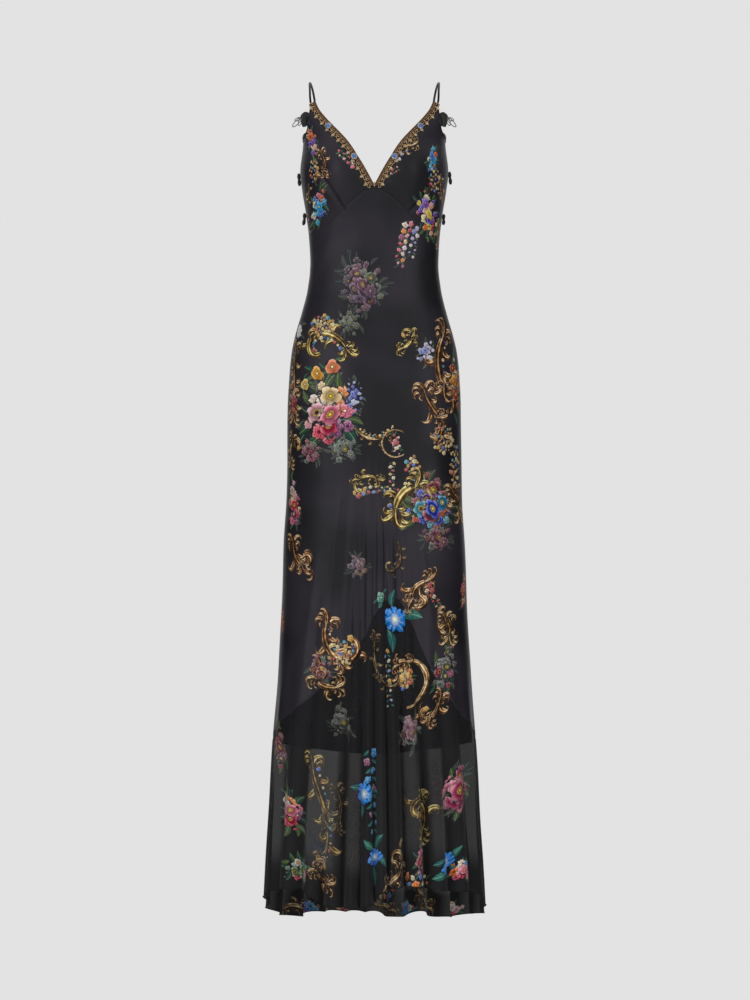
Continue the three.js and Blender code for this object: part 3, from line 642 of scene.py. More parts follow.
def across_cloth(angle, z, side):
    """How far round the dress a place lies from the middle of that side."""
    i = np.clip((z - HEIGHTS[0]) / 5, 0, len(HEIGHTS) - 1.001)
    j = np.clip(angle - ANGLES[0], 0, len(ANGLES) - 1.001)
    a, b = i.astype(int), j.astype(int)
    s, t, table = i - a, j - b, ACROSS[side]
    upper = table[a + 1, b] * (1 - t) + table[a + 1, b + 1] * t
    return (table[a, b] * (1 - t) + table[a, b + 1] * t) * (1 - s) + upper * s


def seen_at(x, z, side):
    """The same for a place seen straight on, x from the middle."""
    z = np.asarray(float(z))
    half, depth = section(z, 1), section(z, 2 if side == "front" else 3)
    share = np.minimum(1, abs(x) / half) ** ROUNDNESS
    angle = np.degrees(np.arctan2(x, depth * (1 - share) ** (1 / ROUNDNESS)))
    return float(across_cloth(np.asarray(angle if side == "front" else 180 + angle), z, side))


print("half the hips round:", round(seen_at(150, -600, "front")), "mm of cloth at x 150")

# %% Colours of the print
VIVID = ["7b4fc4", "e8743a", "f0e2b4", "c8365a", "6a5be0", "f2b2a8", "e6cf55"]
TURQUOISE = ["28a8e0", "1c7fcf", "3cc4e8", "e2573f", "e8dcc0", "2f6fd0"]
ROSE = ["e77f98", "f6e3de", "c83e5c", "f29a5c", "f3b8c2", "8f3d78", "f7d9a8", "e2566e"]
BERRY = ["b0224a", "d2688e", "7a2f62", "e0a0b4"]
MIDNIGHT = ["3350c8", "2f8fb8", "8a1d3c", "4466d8", "5aa8c0", "c65a3a", "5c2f7a"]
MAUVE = ["7d4a70", "94607f", "6b4a72", "7f8a72", "5d3d5e"]
DUSK = ["8c2c4c", "6e2a48", "a4526c", "5c6a58"]
GREENS = ["3f6b4a", "27604f", "6b8058", "2c4f48", "54703a"]
GREYS = ["4a5550", "5c6660", "3c4844", "6a7068"]
TEALS = ["2c7a78", "3f8f80"]
AZURE = "0a8ae6"
PINKS = ["c24a72", "e08aa4", "a83060"]
HEARTS = ("f0d060", "3c1420", "f6e8c0")  # middles of the flowers in a bouquet
GOLDS = ("d9a548", "b98a4a", "e8cf8a", "8a5f2c")
GILT, ROSY, LEMON = (1, 0.95, 0.85), (1, 0.85, 0.78), (0.96, 1, 0.62)  # tints of the scrolls
DIM, LEAFY = (0.46, 0.46, 0.46), (0.36, 0.62, 0.3)
SHEER_PRINT, SHEER_FROM = 0.68, -1180  # the gold is fainter on the sheer flounce
JEWELS = ["2f62c8", "e9d9a8", "c23a4a", "e9d9a8", "39a0c0"]

# %% Bouquets, sprays, scrolls and beads
GOLDEN_ANGLE = 2.39996  # radians


class Sheet:
    """The print on one side of the dress, as lists of motifs."""

    def __init__(self, side, seed):
        self.side, self.dice = side, np.random.default_rng(seed)
        self.flowers, self.leaves, self.scrolls = [], [], []

    def flower(self, u, v, size, color, petals, strength=1.0, heart="f0d060", star=0.0):
        turn, seed = self.dice.uniform(0, 3.14), self.dice.uniform(0.02, 0.98)
        tilt = self.dice.uniform(0.62, 1.0) if petals else 1.0
        self.flowers.append((u, v, size, (turn, tilt), petals + seed, paint(color), strength, paint(heart), star))

    def leaf(self, u, v, size, turn, color, strength=1.0):
        self.leaves.append((u, v, size, turn, paint(color), strength))

    def bouquet(self, x, z, wide, tall, lean, colors, count, size, strength=1.0, leaves=GREENS, spread=1.0):
        u0, dice, lean = seen_at(x, z, self.side), self.dice, math.radians(lean)
        for k in range(int(count * 1.3 * spread)):
            a = k * 2.0 + dice.uniform(-0.5, 0.5)
            reach = dice.uniform(0.75, 1.2)
            p, q = wide * reach * math.cos(a), tall * reach * math.sin(a)
            u, v = u0 + p * math.cos(lean) - q * math.sin(lean), z + p * math.sin(lean) + q * math.cos(lean)
            aim = math.atan2(v - z, u - u0) + dice.uniform(-0.6, 0.6)
            self.leaf(u, v, size * dice.uniform(0.55, 0.95), aim, leaves[k % len(leaves)], strength * 0.9)
        for k in reversed(range(count)):
            share = (k + 0.4) / count
            a = k * GOLDEN_ANGLE + dice.uniform(-0.25, 0.25)
            p, q = wide * share**0.62 * math.cos(a), tall * share**0.62 * math.sin(a)
            u, v = u0 + p * math.cos(lean) - q * math.sin(lean), z + p * math.sin(lean) + q * math.cos(lean)
            grown = size * (1.12 - 0.78 * share) * dice.uniform(0.85, 1.15)
            petals = (5, 7, 6, 9, 5, 8)[k % 6] if share < 0.6 else (5, 4, 6)[k % 3]
            opened = -1.0 if share < 0.55 and k % 2 == 0 and size > 12 else 0.0
            self.flower(u, v, grown, colors[k % len(colors)], petals, strength, HEARTS[k % 3], opened)

    def spray(self, x, z, heading, length, bend, colors, count, size, strength=1.0, leaves=GREENS):
        u, v = seen_at(x, z, self.side), float(z)
        step = length / count
        for k in range(count):
            a = math.radians(heading + bend * k / count)
            u, v = u + step * math.cos(a), v + step * math.sin(a)
            off = (-1) ** k * size * self.dice.uniform(0.5, 1.1)
            p, q = u - off * math.sin(a), v + off * math.cos(a)
            p2, q2 = u + off * math.sin(a), v - off * math.cos(a)
            self.leaf(p2, q2, size * 0.9, a - (-1) ** k, leaves[k % len(leaves)], strength)
            grown = size * (1.1 - 0.6 * k / count) * self.dice.uniform(0.8, 1.2)
            self.flower(p, q, grown, colors[k % len(colors)], (5, 4, 6)[k % 3], strength)

    def bloom(self, x, z, size, color, petals=6, star=1.0, leaves=4, greens=GREENS, strength=1.0):
        u, start = seen_at(x, z, self.side), self.dice.uniform(0, 6.28)
        for k in range(leaves):
            a = start + k * 5.2 / leaves + self.dice.uniform(-0.5, 0.5)
            far = size * self.dice.uniform(0.95, 1.25)
            turn = a + self.dice.uniform(-0.7, 0.7)
            grown = size * self.dice.uniform(0.5, 0.8)
            p, q = u + far * math.cos(a), z + far * math.sin(a)
            self.leaf(p, q, grown, turn, greens[k % len(greens)], strength)
        self.flower(u, z, size, color, petals, strength, "f4f0d0", star)

    def stroke(self, u, v, heading, length, bend, curl, width, strength, tone, leafy=False):
        s = np.linspace(0, 1, max(12, int(length / 1.5)))
        a = math.radians(heading) + math.radians(bend) * s + math.radians(curl) * s**3
        step = length / (len(s) - 1)
        u = u + np.concatenate([[0], np.cumsum(np.cos(a[:-1]))]) * step
        v = v + np.concatenate([[0], np.cumsum(np.sin(a[:-1]))]) * step
        swell = np.sin(np.pi * (0.14 + 0.82 * s)) if leafy else np.sin(np.pi * (0.12 + 0.74 * s)) ** 0.8
        half = width * (0.12 + 0.88 * swell if leafy else 0.3 + 0.7 * swell)
        self.scrolls.append((u, v, a, s * length, half, width, strength, tone))
        return u, v, a

    def fan(self, u, v, heading, size, width, strength, tone):
        """Acanthus: leaf strokes from one point that curl outwards, the middle one on top."""
        for lean, share in ((-88, 0.5), (88, 0.5), (-56, 0.74), (56, 0.74), (-25, 0.92), (25, 0.92), (4, 1.1)):
            turn = -1 if lean < 0 else 1
            lean, share = lean * self.dice.uniform(0.85, 1.1), share * self.dice.uniform(0.85, 1.1)
            self.stroke(u, v, heading + lean, size * share, turn * 25, turn * 120, width, strength, tone, True)

    def scroll(self, x, z, heading, length, bend, curl, width, shoots=5, strength=1.0, boss=True, tone=GILT):
        width = width * 1.2
        bend += math.copysign(45, bend) if width > 4 else 0
        strength *= SHEER_PRINT if z < SHEER_FROM else 1
        start = (seen_at(x, z, self.side), z)
        u, v, a = self.stroke(*start, heading, length, bend, curl, width, strength, tone)
        main = self.scrolls.pop()
        for k in range(shoots):
            i = int(len(u) * (0.1 + 0.62 * k / max(1, shoots - 1)))
            turn = 1 if k % 2 == 0 else -1
            long = width * self.dice.uniform(3.4, 5.4)
            lean = math.degrees(a[i]) + turn * self.dice.uniform(18, 40)
            hook = turn * self.dice.uniform(60, 190)
            self.stroke(u[i], v[i], lean, long, turn * 40, hook, width * 0.85, strength, tone, True)
        self.scrolls.append(main)
        if width > 4 and shoots > 2:
            self.fan(*start, heading + 180, width * 4.2, width * 0.62, strength, tone)
            i = int(len(u) * 0.5)
            lean = math.degrees(a[i]) - 50 * np.sign(bend + curl)
            self.fan(float(u[i]), float(v[i]), lean, width * 3.6, width * 0.55, strength, tone)
        if boss:
            self.flower(float(u[-1]), float(v[-1]), width * 0.95, GOLDS[0], 5, strength, "fff0c0")
        return u, v

    def arc(self, x, z, radius, start, end, width, strength=1.0, tone=GILT):
        u, turn = seen_at(x, z, self.side), math.radians(start)
        long = radius * math.radians(abs(end - start))
        way = 90 if end > start else -90
        p, q = u + radius * math.cos(turn), z + radius * math.sin(turn)
        line = self.stroke(p, q, start + way, long, end - start, 0, width, strength, tone)
        return line[0], line[1]

    def filigree(self, x, z, wide, tall, count, size, strength=1.0):
        """Small gold flowers and jewels scattered evenly in an oval."""
        u0 = seen_at(x, z, self.side)
        for k in range(count):
            share, a = (k + 0.5) / count, k * GOLDEN_ANGLE
            u, v = u0 + wide * share**0.5 * math.cos(a), z + tall * share**0.5 * math.sin(a)
            color, petals = (GOLDS[k % 4], 5) if k % 3 else (JEWELS[k % 5], 0)
            self.flower(u, v, size * self.dice.uniform(0.7, 1.2), color, petals, strength, "fff0c0")

    def stem(self, x, z, heading, length, bend, strength=1.0):
        self.stroke(seen_at(x, z, self.side), z, heading, length, bend, 0, 1.7, strength, LEAFY)

    def beads(self, line, every, size, colors, off=0.0, strength=1.0):
        u, v = line
        a = np.arctan2(np.gradient(v), np.gradient(u))
        for k, i in enumerate(range(4, len(u) - 2, every)):
            p, q = float(u[i] - off * math.sin(a[i])), float(v[i] + off * math.cos(a[i]))
            grown = size * (1.25 if k % 3 == 0 else 0.8)
            self.flower(p, q, grown, colors[k % len(colors)], 0, strength, "f8f0e0")


# %% The front's design
front = Sheet("front", 11)
# on the cups and under them
front.bouquet(-116, -112, 14, 36, 10, VIVID, 13, 10, spread=0.8)
front.scroll(-96, -142, -60, 66, -30, -200, 4.0, 5, tone=ROSY)
front.bouquet(108, -150, 13, 26, -8, TURQUOISE, 9, 10.5)
front.scroll(72, -124, 200, 58, -50, -190, 3.8, 5)
front.spray(-34, -168, 128, 44, 20, ROSE, 8, 5)
front.spray(36, -158, 62, 38, -30, ["c9c4e4", "e4dff0", "8d9ad8"], 7, 4.6, leaves=GREYS)
front.spray(22, -182, 30, 26, 0, ["c23a4a", "e8a0b0", "c23a4a"], 5, 3.4)
front.bouquet(100, -250, 24, 42, 16, VIVID[::-1], 20, 11.5)
front.filigree(112, -186, 16, 26, 22, 3.8)
front.scroll(118, -300, 110, 52, -40, -200, 4.2, 4)
front.scroll(124, -190, 250, 50, 40, 200, 3.6, 4, tone=ROSY)
front.bouquet(-104, -236, 18, 36, -14, TURQUOISE + ROSE[:2], 14, 11.5)
front.filigree(-112, -170, 13, 22, 18, 3.6)
front.scroll(-122, -196, -70, 40, -30, -220, 3.0, 4)
front.spray(-122, -292, 80, 44, -10, ["d08a50", "e0c080"], 5, 4.5)
front.spray(66, -262, -112, 88, 20, ROSE + ["f0e8ee"], 15, 6.6, leaves=GREYS)
front.spray(78, -270, -96, 60, -10, ["c9c4e4", "8d9ad8", "f0e8ee"], 9, 4.8, leaves=GREYS)
# a shadowed bouquet at the waist
front.bouquet(-24, -384, 40, 52, 18, MAUVE, 22, 17, strength=0.46, leaves=GREYS)
front.bouquet(-46, -452, 22, 24, 0, ["7f8a72", "8a947c", "6e7a66"], 11, 10, strength=0.4, leaves=GREYS)
# the great bouquet on one hip
front.bouquet(-58, -686, 26, 26, 0, ["56605a", "6e7870"], 10, 14, strength=0.6, leaves=GREYS)
front.bouquet(-118, -690, 20, 26, 0, DUSK, 10, 12, strength=0.8, leaves=GREYS)
for lean, far in ((62, 74), (84, 60), (104, 82), (128, 64)):
    front.stem(-88, -632, lean, far, 24)
front.bouquet(-86, -622, 46, 58, -12, ROSE, 15, 28, leaves=GREENS + GREYS, spread=1.6)
front.bouquet(-38, -590, 16, 34, 0, ["4862c8", "7f8fe0", "c9d0f0"], 17, 6.5, leaves=GREYS)
for x, z, size, color in ((-106, -546, 17, "f0a83c"), (-78, -534, 16, "f28a62"), (-128, -566, 13, "f6d27c")):
    front.bloom(x, z, size, color, 3, -0.4, 3)
line = front.scroll(-52, -500, 122, 128, 60, 150, 6.4, 6, tone=LEMON)
front.beads(line, 6, 3.4, JEWELS, 9)
front.filigree(-96, -458, 26, 20, 34, 4.2)
line = front.scroll(-146, -500, -98, 160, 10, -160, 5.5, 6)
front.beads(line, 6, 3.2, JEWELS, -9)
front.bloom(-140, -466, 16, "f2f2ee", 8, 0.4, 4, GREYS)
front.scroll(-150, -620, 96, 90, 16, 220, 6, 5, tone=ROSY)
front.bouquet(-150, -596, 13, 40, 4, ["b0224a", "8a1d3c", "c65a3a"], 9, 11, strength=0.8)
# gilt scrolls and flowers on the other side
front.bouquet(150, -566, 15, 56, 6, ["e9803c", "f0b040", "c24a3a", "f0e0c8"], 14, 12.5, leaves=GREENS)
front.bouquet(96, -508, 18, 24, -10, ["c9c4e4", "8d9ad8", "e4dff0"], 13, 7.5, leaves=GREYS)
front.filigree(150, -716, 16, 40, 26, 4.6)
line = front.scroll(128, -476, 238, 196, 62, 150, 8.2, 7, tone=ROSY)
front.beads(line, 9, 3.4, JEWELS, 12)
front.scroll(94, -584, -72, 104, 40, -220, 6.8, 5, tone=ROSY)
front.scroll(52, -500, 20, 62, 60, 180, 3.6, 5, tone=LEMON)
front.filigree(128, -668, 26, 26, 38, 4.4)
line = front.scroll(40, -800, 84, 124, -78, -120, 8.6, 4, tone=LEMON)
front.beads(line, 9, 3.6, JEWELS, 12)
front.scroll(160, -800, 100, 84, 54, 160, 7.6, 4, tone=ROSY)
front.filigree(70, -716, 14, 18, 14, 4.4)
front.bouquet(104, -762, 30, 30, 0, ["8a1d3c", "5c1830", "6e2440"], 7, 17, strength=0.6)
front.bouquet(104, -796, 48, 36, 4, MIDNIGHT, 20, 20)
front.bouquet(116, -848, 32, 24, 0, DUSK, 11, 15, strength=0.6, leaves=GREYS)
# small pieces between
front.scroll(6, -742, 152, 74, 60, 150, 3.4, 5, tone=LEMON)
front.spray(-40, -772, 24, 66, -30, ["e0b866", "b04a5a", "e8dcc0", "8d9ad8"], 13, 5, leaves=GREENS + GREYS)
line = front.scroll(-34, -650, -50, 84, 90, 40, 2.8, 8, boss=False)
front.beads(line, 5, 2.6, ["e0b866", "39a0c0", "e0b866"], 6)
front.bouquet(40, -676, 9, 22, 8, ["c23a4a", "e8a0b0", "f0e0c8"], 11, 5, leaves=GREENS)
front.arc(40, -676, 25, 300, 60, 2.2, strength=0.9)
front.spray(34, -706, -96, 74, 16, ["e0c488", "e8dcc0", "b04a5a"], 11, 3.8, leaves=GREYS)
front.scroll(44, -860, -70, 86, -30, -250, 2.8, 8, tone=DIM)
# low on the skirt
front.bouquet(-30, -902, 20, 20, 0, ["8f6a7c", "6e5a70", "a07a66"], 8, 12, strength=0.5, leaves=GREYS)
front.scroll(96, -930, 200, 92, 70, 190, 6.2, 5, tone=ROSY)
front.spray(94, -936, -60, 60, 20, ["c23a4a", "f0c8b0", "c23a4a"], 10, 5.5, leaves=GREENS)
front.filigree(-64, -1064, 22, 26, 26, 4.8)
front.bouquet(58, -1108, 17, 18, 0, ["e9803c", "f6d27c", "c24a3a"], 8, 12)
front.bouquet(-150, -790, 17, 50, 6, ROSE[::-1] + BERRY, 15, 12.5)
front.scroll(-150, -866, -84, 84, 30, 210, 6.4, 5, tone=ROSY)
front.scroll(-156, -706, 96, 72, -20, -180, 5, 4)
front.bloom(38, -1000, 32, AZURE, 9, 0.8, 3, TEALS)
front.bloom(12, -960, 12, "3f8f80", 4, 0.0, 3, TEALS)
front.scroll(2, -1036, -100, 140, 20, 100, 3.6, 7, tone=DIM)
front.spray(24, -1050, -84, 110, 6, ["d9a548", "8d9ad8", "e8dcc0"], 12, 5, leaves=["2c7a78"])
line = front.scroll(-88, -1010, -110, 150, 100, 140, 7, 6, tone=ROSY)
front.beads(line, 8, 3.4, JEWELS, 9)
front.scroll(-70, -1126, 190, 84, -60, -220, 6, 5)
front.bouquet(-100, -1090, 22, 26, 0, DUSK, 9, 14, strength=0.7, leaves=GREYS)
front.arc(60, -1120, 44, 100, -80, 5.4)
front.scroll(58, -1078, 170, 44, 60, 160, 5, 4, tone=ROSY)
front.filigree(56, -1110, 20, 20, 18, 4.6)
front.bouquet(132, -1090, 24, 46, 0, GREYS + BERRY[:2], 13, 15, strength=0.8, leaves=GREENS)
front.scroll(140, -1030, 96, 62, 20, 240, 6.4, 5)
front.scroll(122, -1150, -96, 72, -20, -200, 5.8, 5, tone=ROSY)
front.bouquet(166, -950, 10, 34, 0, ["c65a3a", "b0224a", "e8a080"], 8, 12)
front.bouquet(-172, -1010, 10, 30, 0, ["c65a3a", "e8743a", "8a1d3c"], 7, 12)
# on the flounce
front.bouquet(-176, -1240, 14, 44, 0, ["8a1d3c", "b0224a", "7a4a66"], 9, 16, strength=0.75)
front.bouquet(152, -1316, 30, 40, 0, PINKS, 12, 26, strength=0.85, leaves=GREYS + GREENS, spread=1.5)
front.bouquet(158, -1462, 30, 20, 0, ROSE[:3] + ["2f9fe6", "e8743a"], 12, 12)
front.bloom(132, -1450, 28, AZURE, 9, 0.8, 4, TEALS)
front.scroll(92, -1390, 80, 120, 40, 210, 7.2, 6, tone=LEMON)
front.bouquet(84, -1440, 16, 30, 0, BERRY, 8, 15, strength=0.8)
line = front.scroll(-110, -1270, -92, 190, 16, -150, 7.6, 7, tone=LEMON)
front.beads(line, 8, 3.6, JEWELS, 11)
front.scroll(-66, -1320, -70, 120, -60, -150, 6, 5, tone=DIM)
front.bouquet(-154, -1352, 26, 34, 0, ROSE, 11, 20, strength=0.9)
front.bouquet(-134, -1462, 34, 20, 0, GREENS + ROSE[:3], 12, 14)
front.bloom(-18, -1320, 25, AZURE, 9, 0.8, 3, TEALS)
front.bloom(2, -1436, 28, "0680dc", 9, 0.8, 4, TEALS)
front.spray(-8, -1230, -88, 160, 4, ["2f9fe6", "8d4a80", "2f9fe6"], 10, 10, leaves=["2c7a78"])
front.scroll(24, -1488, 10, 120, 30, 200, 6.6, 6)
front.scroll(-84, -1486, 170, 80, -40, -200, 6, 5, tone=ROSY)
front.spray(60, -1480, 0, 90, 0, ["e8743a", "2f62c8", "e8dcc0"], 10, 8)
front.bouquet(66, -1206, 28, 30, 0, ["b98a9c", "9c7286", "7c8a80"], 9, 17, strength=0.65, leaves=GREYS)
front.bouquet(-60, -1190, 24, 30, 0, GREYS, 8, 15, strength=0.5, leaves=GREYS)
print("front print:", len(front.flowers), "flowers,", len(front.leaves), "leaves,", len(front.scrolls), "strokes")

# %% The back's design
back = Sheet("back", 23)
back.bouquet(96, -330, 24, 40, 0, VIVID, 18, 11.5)
back.bouquet(-112, -360, 16, 34, 0, TURQUOISE + ROSE[:2], 12, 11)
back.bouquet(-140, -640, 15, 56, 6, ["e9803c", "f0b040", "c24a3a", "f0e0c8"], 14, 12.5)
back.scroll(130, -500, 100, 120, 30, 200, 7, 6)
back.bouquet(20, -1060, 20, 22, 0, ["8f6a7c", "6e5a70", "a07a66"], 8, 12, strength=0.5, leaves=GREYS)
back.bouquet(150, -1210, 20, 40, 0, ["8a1d3c", "b0224a", "7a4a66"], 9, 16, strength=0.75)
back.bouquet(-98, -210, 13, 34, 6, TURQUOISE, 9, 11)
back.scroll(88, -220, 250, 60, 40, 200, 3.8, 5, tone=ROSY)
back.bouquet(-60, -470, 40, 34, 20, MAUVE, 20, 17, strength=0.46, leaves=GREYS)
for lean, far in ((50, 74), (76, 60), (110, 82)):
    back.stem(62, -650, lean, far, 24)
back.bouquet(62, -640, 46, 56, 10, ROSE, 15, 28, leaves=GREENS + GREYS, spread=1.6)
back.bouquet(112, -560, 18, 28, 0, ["f0b040", "f6d27c", "e9803c"], 8, 15)
line = back.scroll(30, -540, 60, 150, -70, -150, 6.6, 6, tone=LEMON)
back.beads(line, 7, 3.4, JEWELS, -9)
line = back.scroll(-130, -600, -60, 180, -60, -150, 7.6, 7, tone=ROSY)
back.beads(line, 8, 3.4, JEWELS, 11)
back.filigree(-84, -610, 26, 24, 34, 4.4)
back.scroll(-60, -560, 130, 90, 40, 220, 6, 5)
back.bouquet(-90, -830, 46, 40, 0, MIDNIGHT, 20, 20)
back.bouquet(-84, -892, 32, 24, 0, DUSK, 11, 15, strength=0.6, leaves=GREYS)
line = back.scroll(-30, -838, 92, 130, 78, 130, 8.6, 4, tone=LEMON)
back.beads(line, 9, 3.6, JEWELS, -12)
back.scroll(-150, -830, 80, 84, -50, -160, 7.6, 4, tone=ROSY)
back.bouquet(142, -840, 18, 44, 0, ROSE[::-1] + BERRY, 14, 12.5)
back.scroll(136, -900, -90, 90, 40, 210, 6, 5)
back.spray(6, -700, -94, 120, 10, ["e0c488", "e8dcc0", "b04a5a"], 14, 4, leaves=GREYS)
back.bloom(-16, -970, 32, AZURE, 9, 0.8, 3, TEALS)
back.scroll(30, -960, -100, 160, 30, 160, 5.5, 6, tone=DIM)
line = back.scroll(110, -1060, -80, 150, -60, -190, 7, 6, tone=ROSY)
back.beads(line, 8, 3.4, JEWELS, 10)
back.bouquet(-140, -1080, 24, 46, 0, GREYS + BERRY[:2], 13, 15, strength=0.8)
back.scroll(-60, -1090, -110, 110, 60, 220, 6, 6)
back.bouquet(30, -1180, 26, 30, 0, DUSK, 9, 16, strength=0.7, leaves=GREYS)
back.bouquet(-120, -1330, 32, 40, 0, PINKS, 12, 26, strength=0.85, leaves=GREYS + GREENS, spread=1.5)
back.bloom(-150, -1490, 28, AZURE, 9, 0.8, 4, TEALS)
back.scroll(-60, -1400, 90, 130, -40, -220, 7, 6, tone=LEMON)
back.bouquet(20, -1350, 28, 42, 0, ROSE, 12, 20, strength=0.9)
back.scroll(64, -1330, -90, 170, -20, 160, 7.6, 7)
back.bloom(104, -1450, 28, "0680dc", 9, 0.8, 4, TEALS)
back.bouquet(160, -1400, 22, 32, 0, BERRY + GREENS[:1], 10, 15)
back.spray(-40, -1530, 0, 110, 4, ["e8743a", "2f62c8", "e8dcc0"], 12, 8)
back.scroll(70, -1540, 0, 110, 20, 210, 6, 6, tone=ROSY)
# along the back hem, which shows inside the front one
for x, z, tones in ((-150, -1556, ROSE), (-60, -1560, TURQUOISE), (58, -1562, VIVID), (120, -1558, MIDNIGHT)):
    back.bouquet(x, z, 26, 12, 0, tones, 10, 12, strength=0.9, leaves=GREENS + ["2c7a78"])
for x, heading in ((-104, 10), (-10, 170), (88, 176), (164, 160)):
    back.scroll(x, -1556, heading, 84, 20, 200, 5.6, 5)
print("back print:", len(back.flowers), "flowers,", len(back.leaves), "leaves,", len(back.scrolls), "strokes")

# %% [markdown]
# ## Stamping the design on a panel
# Each motif is given to the faces that it covers. A face has room for one leaf, one scroll and two
# flowers; a later flower takes the place of an earlier one in its layer, and every second flower goes
# to the other layer, so that neighbours can lie over each other.

# %% Stamping
def stamp(design, corner):
    """corner holds the cloth place of every face corner, faces x 4 x 2."""
    middle, faces = corner.mean(axis=1), len(corner)
    layers = {
        name: dict(place=np.zeros((faces, 4, 3)), tint=np.zeros((faces, 4, 4)), heart=np.zeros((faces, 4, 4)))
        for name in ("leaf", "under", "scroll", "over")
    }
    low, high = middle.min(axis=0) - 40, middle.max(axis=0) + 40

    def near(u, v):
        return low[0] < u < high[0] and low[1] < v < high[1]

    def turned(points, u, v, size, turn):
        du, dv = (points[..., 0] - u) / size, (points[..., 1] - v) / size
        return du * math.cos(turn) + dv * math.sin(turn), dv * math.cos(turn) - du * math.sin(turn)

    def tilted(points, u, v, size, turn, tilt):
        """A flower that leans away: narrower along one direction, and not turned otherwise."""
        x, y = turned(points, u, v, size, turn)
        y = y / tilt
        return x * math.cos(turn) - y * math.sin(turn), x * math.sin(turn) + y * math.cos(turn)

    for u, v, size, turn, tint, strength in design.leaves:
        if near(u, v):
            x, y = turned(middle, u, v, size, turn)
            on = (np.abs(x) < 1.05) & (np.abs(y + 0.22 * x * x - 0.08) < 0.45 * (1.1 - x * x))
            upward = math.cos(turn) * 1.1 + math.sin(turn) * 0.6
            place = np.stack([*turned(corner[on], u, v, size, turn), np.full((on.sum(), 4), upward)], axis=-1)
            layers["leaf"]["place"][on], layers["leaf"]["tint"][on] = place, (*tint[:3], strength)
    for k, (u, v, size, turn, kind, tint, strength, heart, star) in enumerate(design.flowers):
        if near(u, v):
            layer = layers["over" if k % 2 else "under"]
            x, y = tilted(middle, u, v, size, *turn)
            on = x * x + y * y < 1.04
            place = np.stack([*tilted(corner[on], u, v, size, *turn), np.full((on.sum(), 4), kind)], axis=-1)
            layer["place"][on], layer["tint"][on] = place, (*tint[:3], strength)
            layer["heart"][on] = (*heart[:3], star)
    for u, v, a, run, half, width, strength, tone in design.scrolls:
        reach = width + 4
        inside = (
            (middle[:, 0] > u.min() - reach) & (middle[:, 0] < u.max() + reach)
            & (middle[:, 1] > v.min() - reach) & (middle[:, 1] < v.max() + reach)
        )
        chosen = np.flatnonzero(inside)
        if not len(chosen):
            continue
        gap = np.hypot(middle[chosen, 0, None] - u, middle[chosen, 1, None] - v)
        best = gap.argmin(axis=1)
        keep = gap[np.arange(len(chosen)), best] < half[best] + 1.5
        chosen, best = chosen[keep], best[keep]
        du = corner[chosen][..., 0] - u[best][:, None]
        dv = corner[chosen][..., 1] - v[best][:, None]
        ca, sa = np.cos(a[best])[:, None], np.sin(a[best])[:, None]
        along = (run[best][:, None] + du * ca + dv * sa) / width
        side = (dv * ca - du * sa) / half[best][:, None]
        heading = np.broadcast_to(a[best][:, None], along.shape)
        layers["scroll"]["place"][chosen] = np.stack([along, side, heading], axis=-1)
        layers["scroll"]["tint"][chosen] = (*tone, strength)
    return layers


def write_layers(mesh, layers):
    for name, layer in layers.items():
        for part, kind in (("place", "FLOAT_VECTOR"), ("tint", "FLOAT_COLOR"), ("heart", "FLOAT_COLOR")):
            if part == "heart" and name in ("leaf", "scroll"):
                continue
            stored = mesh.attributes.new(f"{name}_{part}", kind, "CORNER")
            field = "vector" if part == "place" else "color"
            stored.data.foreach_set(field, layer[part].astype(np.float32).ravel())


# %% [markdown]
# ## A cloth panel
# A panel is a fine grid on the surface, one layer thick, as thin cloth is best shown. Near a seam the
# cloth dips a little, because it turns inside to be sewn, and the two dips make the seam's line.

# %% Where the chiffon lies over itself
OPEN_CHIFFON = [  # from and to angle where light shows through, and how much
    (-84, -60, 1.0), (-47, -25, 1.0), (-19, -10, 0.7), (20, 33, 0.55), (40, 49, 0.7), (62, 75, 0.75),
    (100, 118, 0.9), (131, 142, 0.7), (150, 158, 0.8), (171, 179, 0.5), (190, 199, 0.7), (206, 226, 1.0),
    (246, 262, 0.9),
]


def folded_at(angle, z):
    """0 where the chiffon lies in one layer, 1 where its folds cover each other, and more at the hem."""
    light = np.zeros(angle.shape)
    for first, last, amount in OPEN_CHIFFON:
        light = np.maximum(light, amount * ease((angle - first) / 3 + 0.5) * ease((last - angle) / 3 + 0.5))
    near_hem = ease((hem(angle) + 95 - z) / 60)
    uneven = 0.93 + 0.07 * np.sin(angle / 2.3 + z / 150)
    return np.clip(1 - light * (1 - near_hem) + 0.28 * near_hem, 0, 1.3) * uneven


# %% Panel maker
SEAM_DIP, SEAM_WIDE = 1.6, 2.6


def dip_at(distance):
    return -SEAM_DIP * np.exp(-((distance / SEAM_WIDE) ** 2))


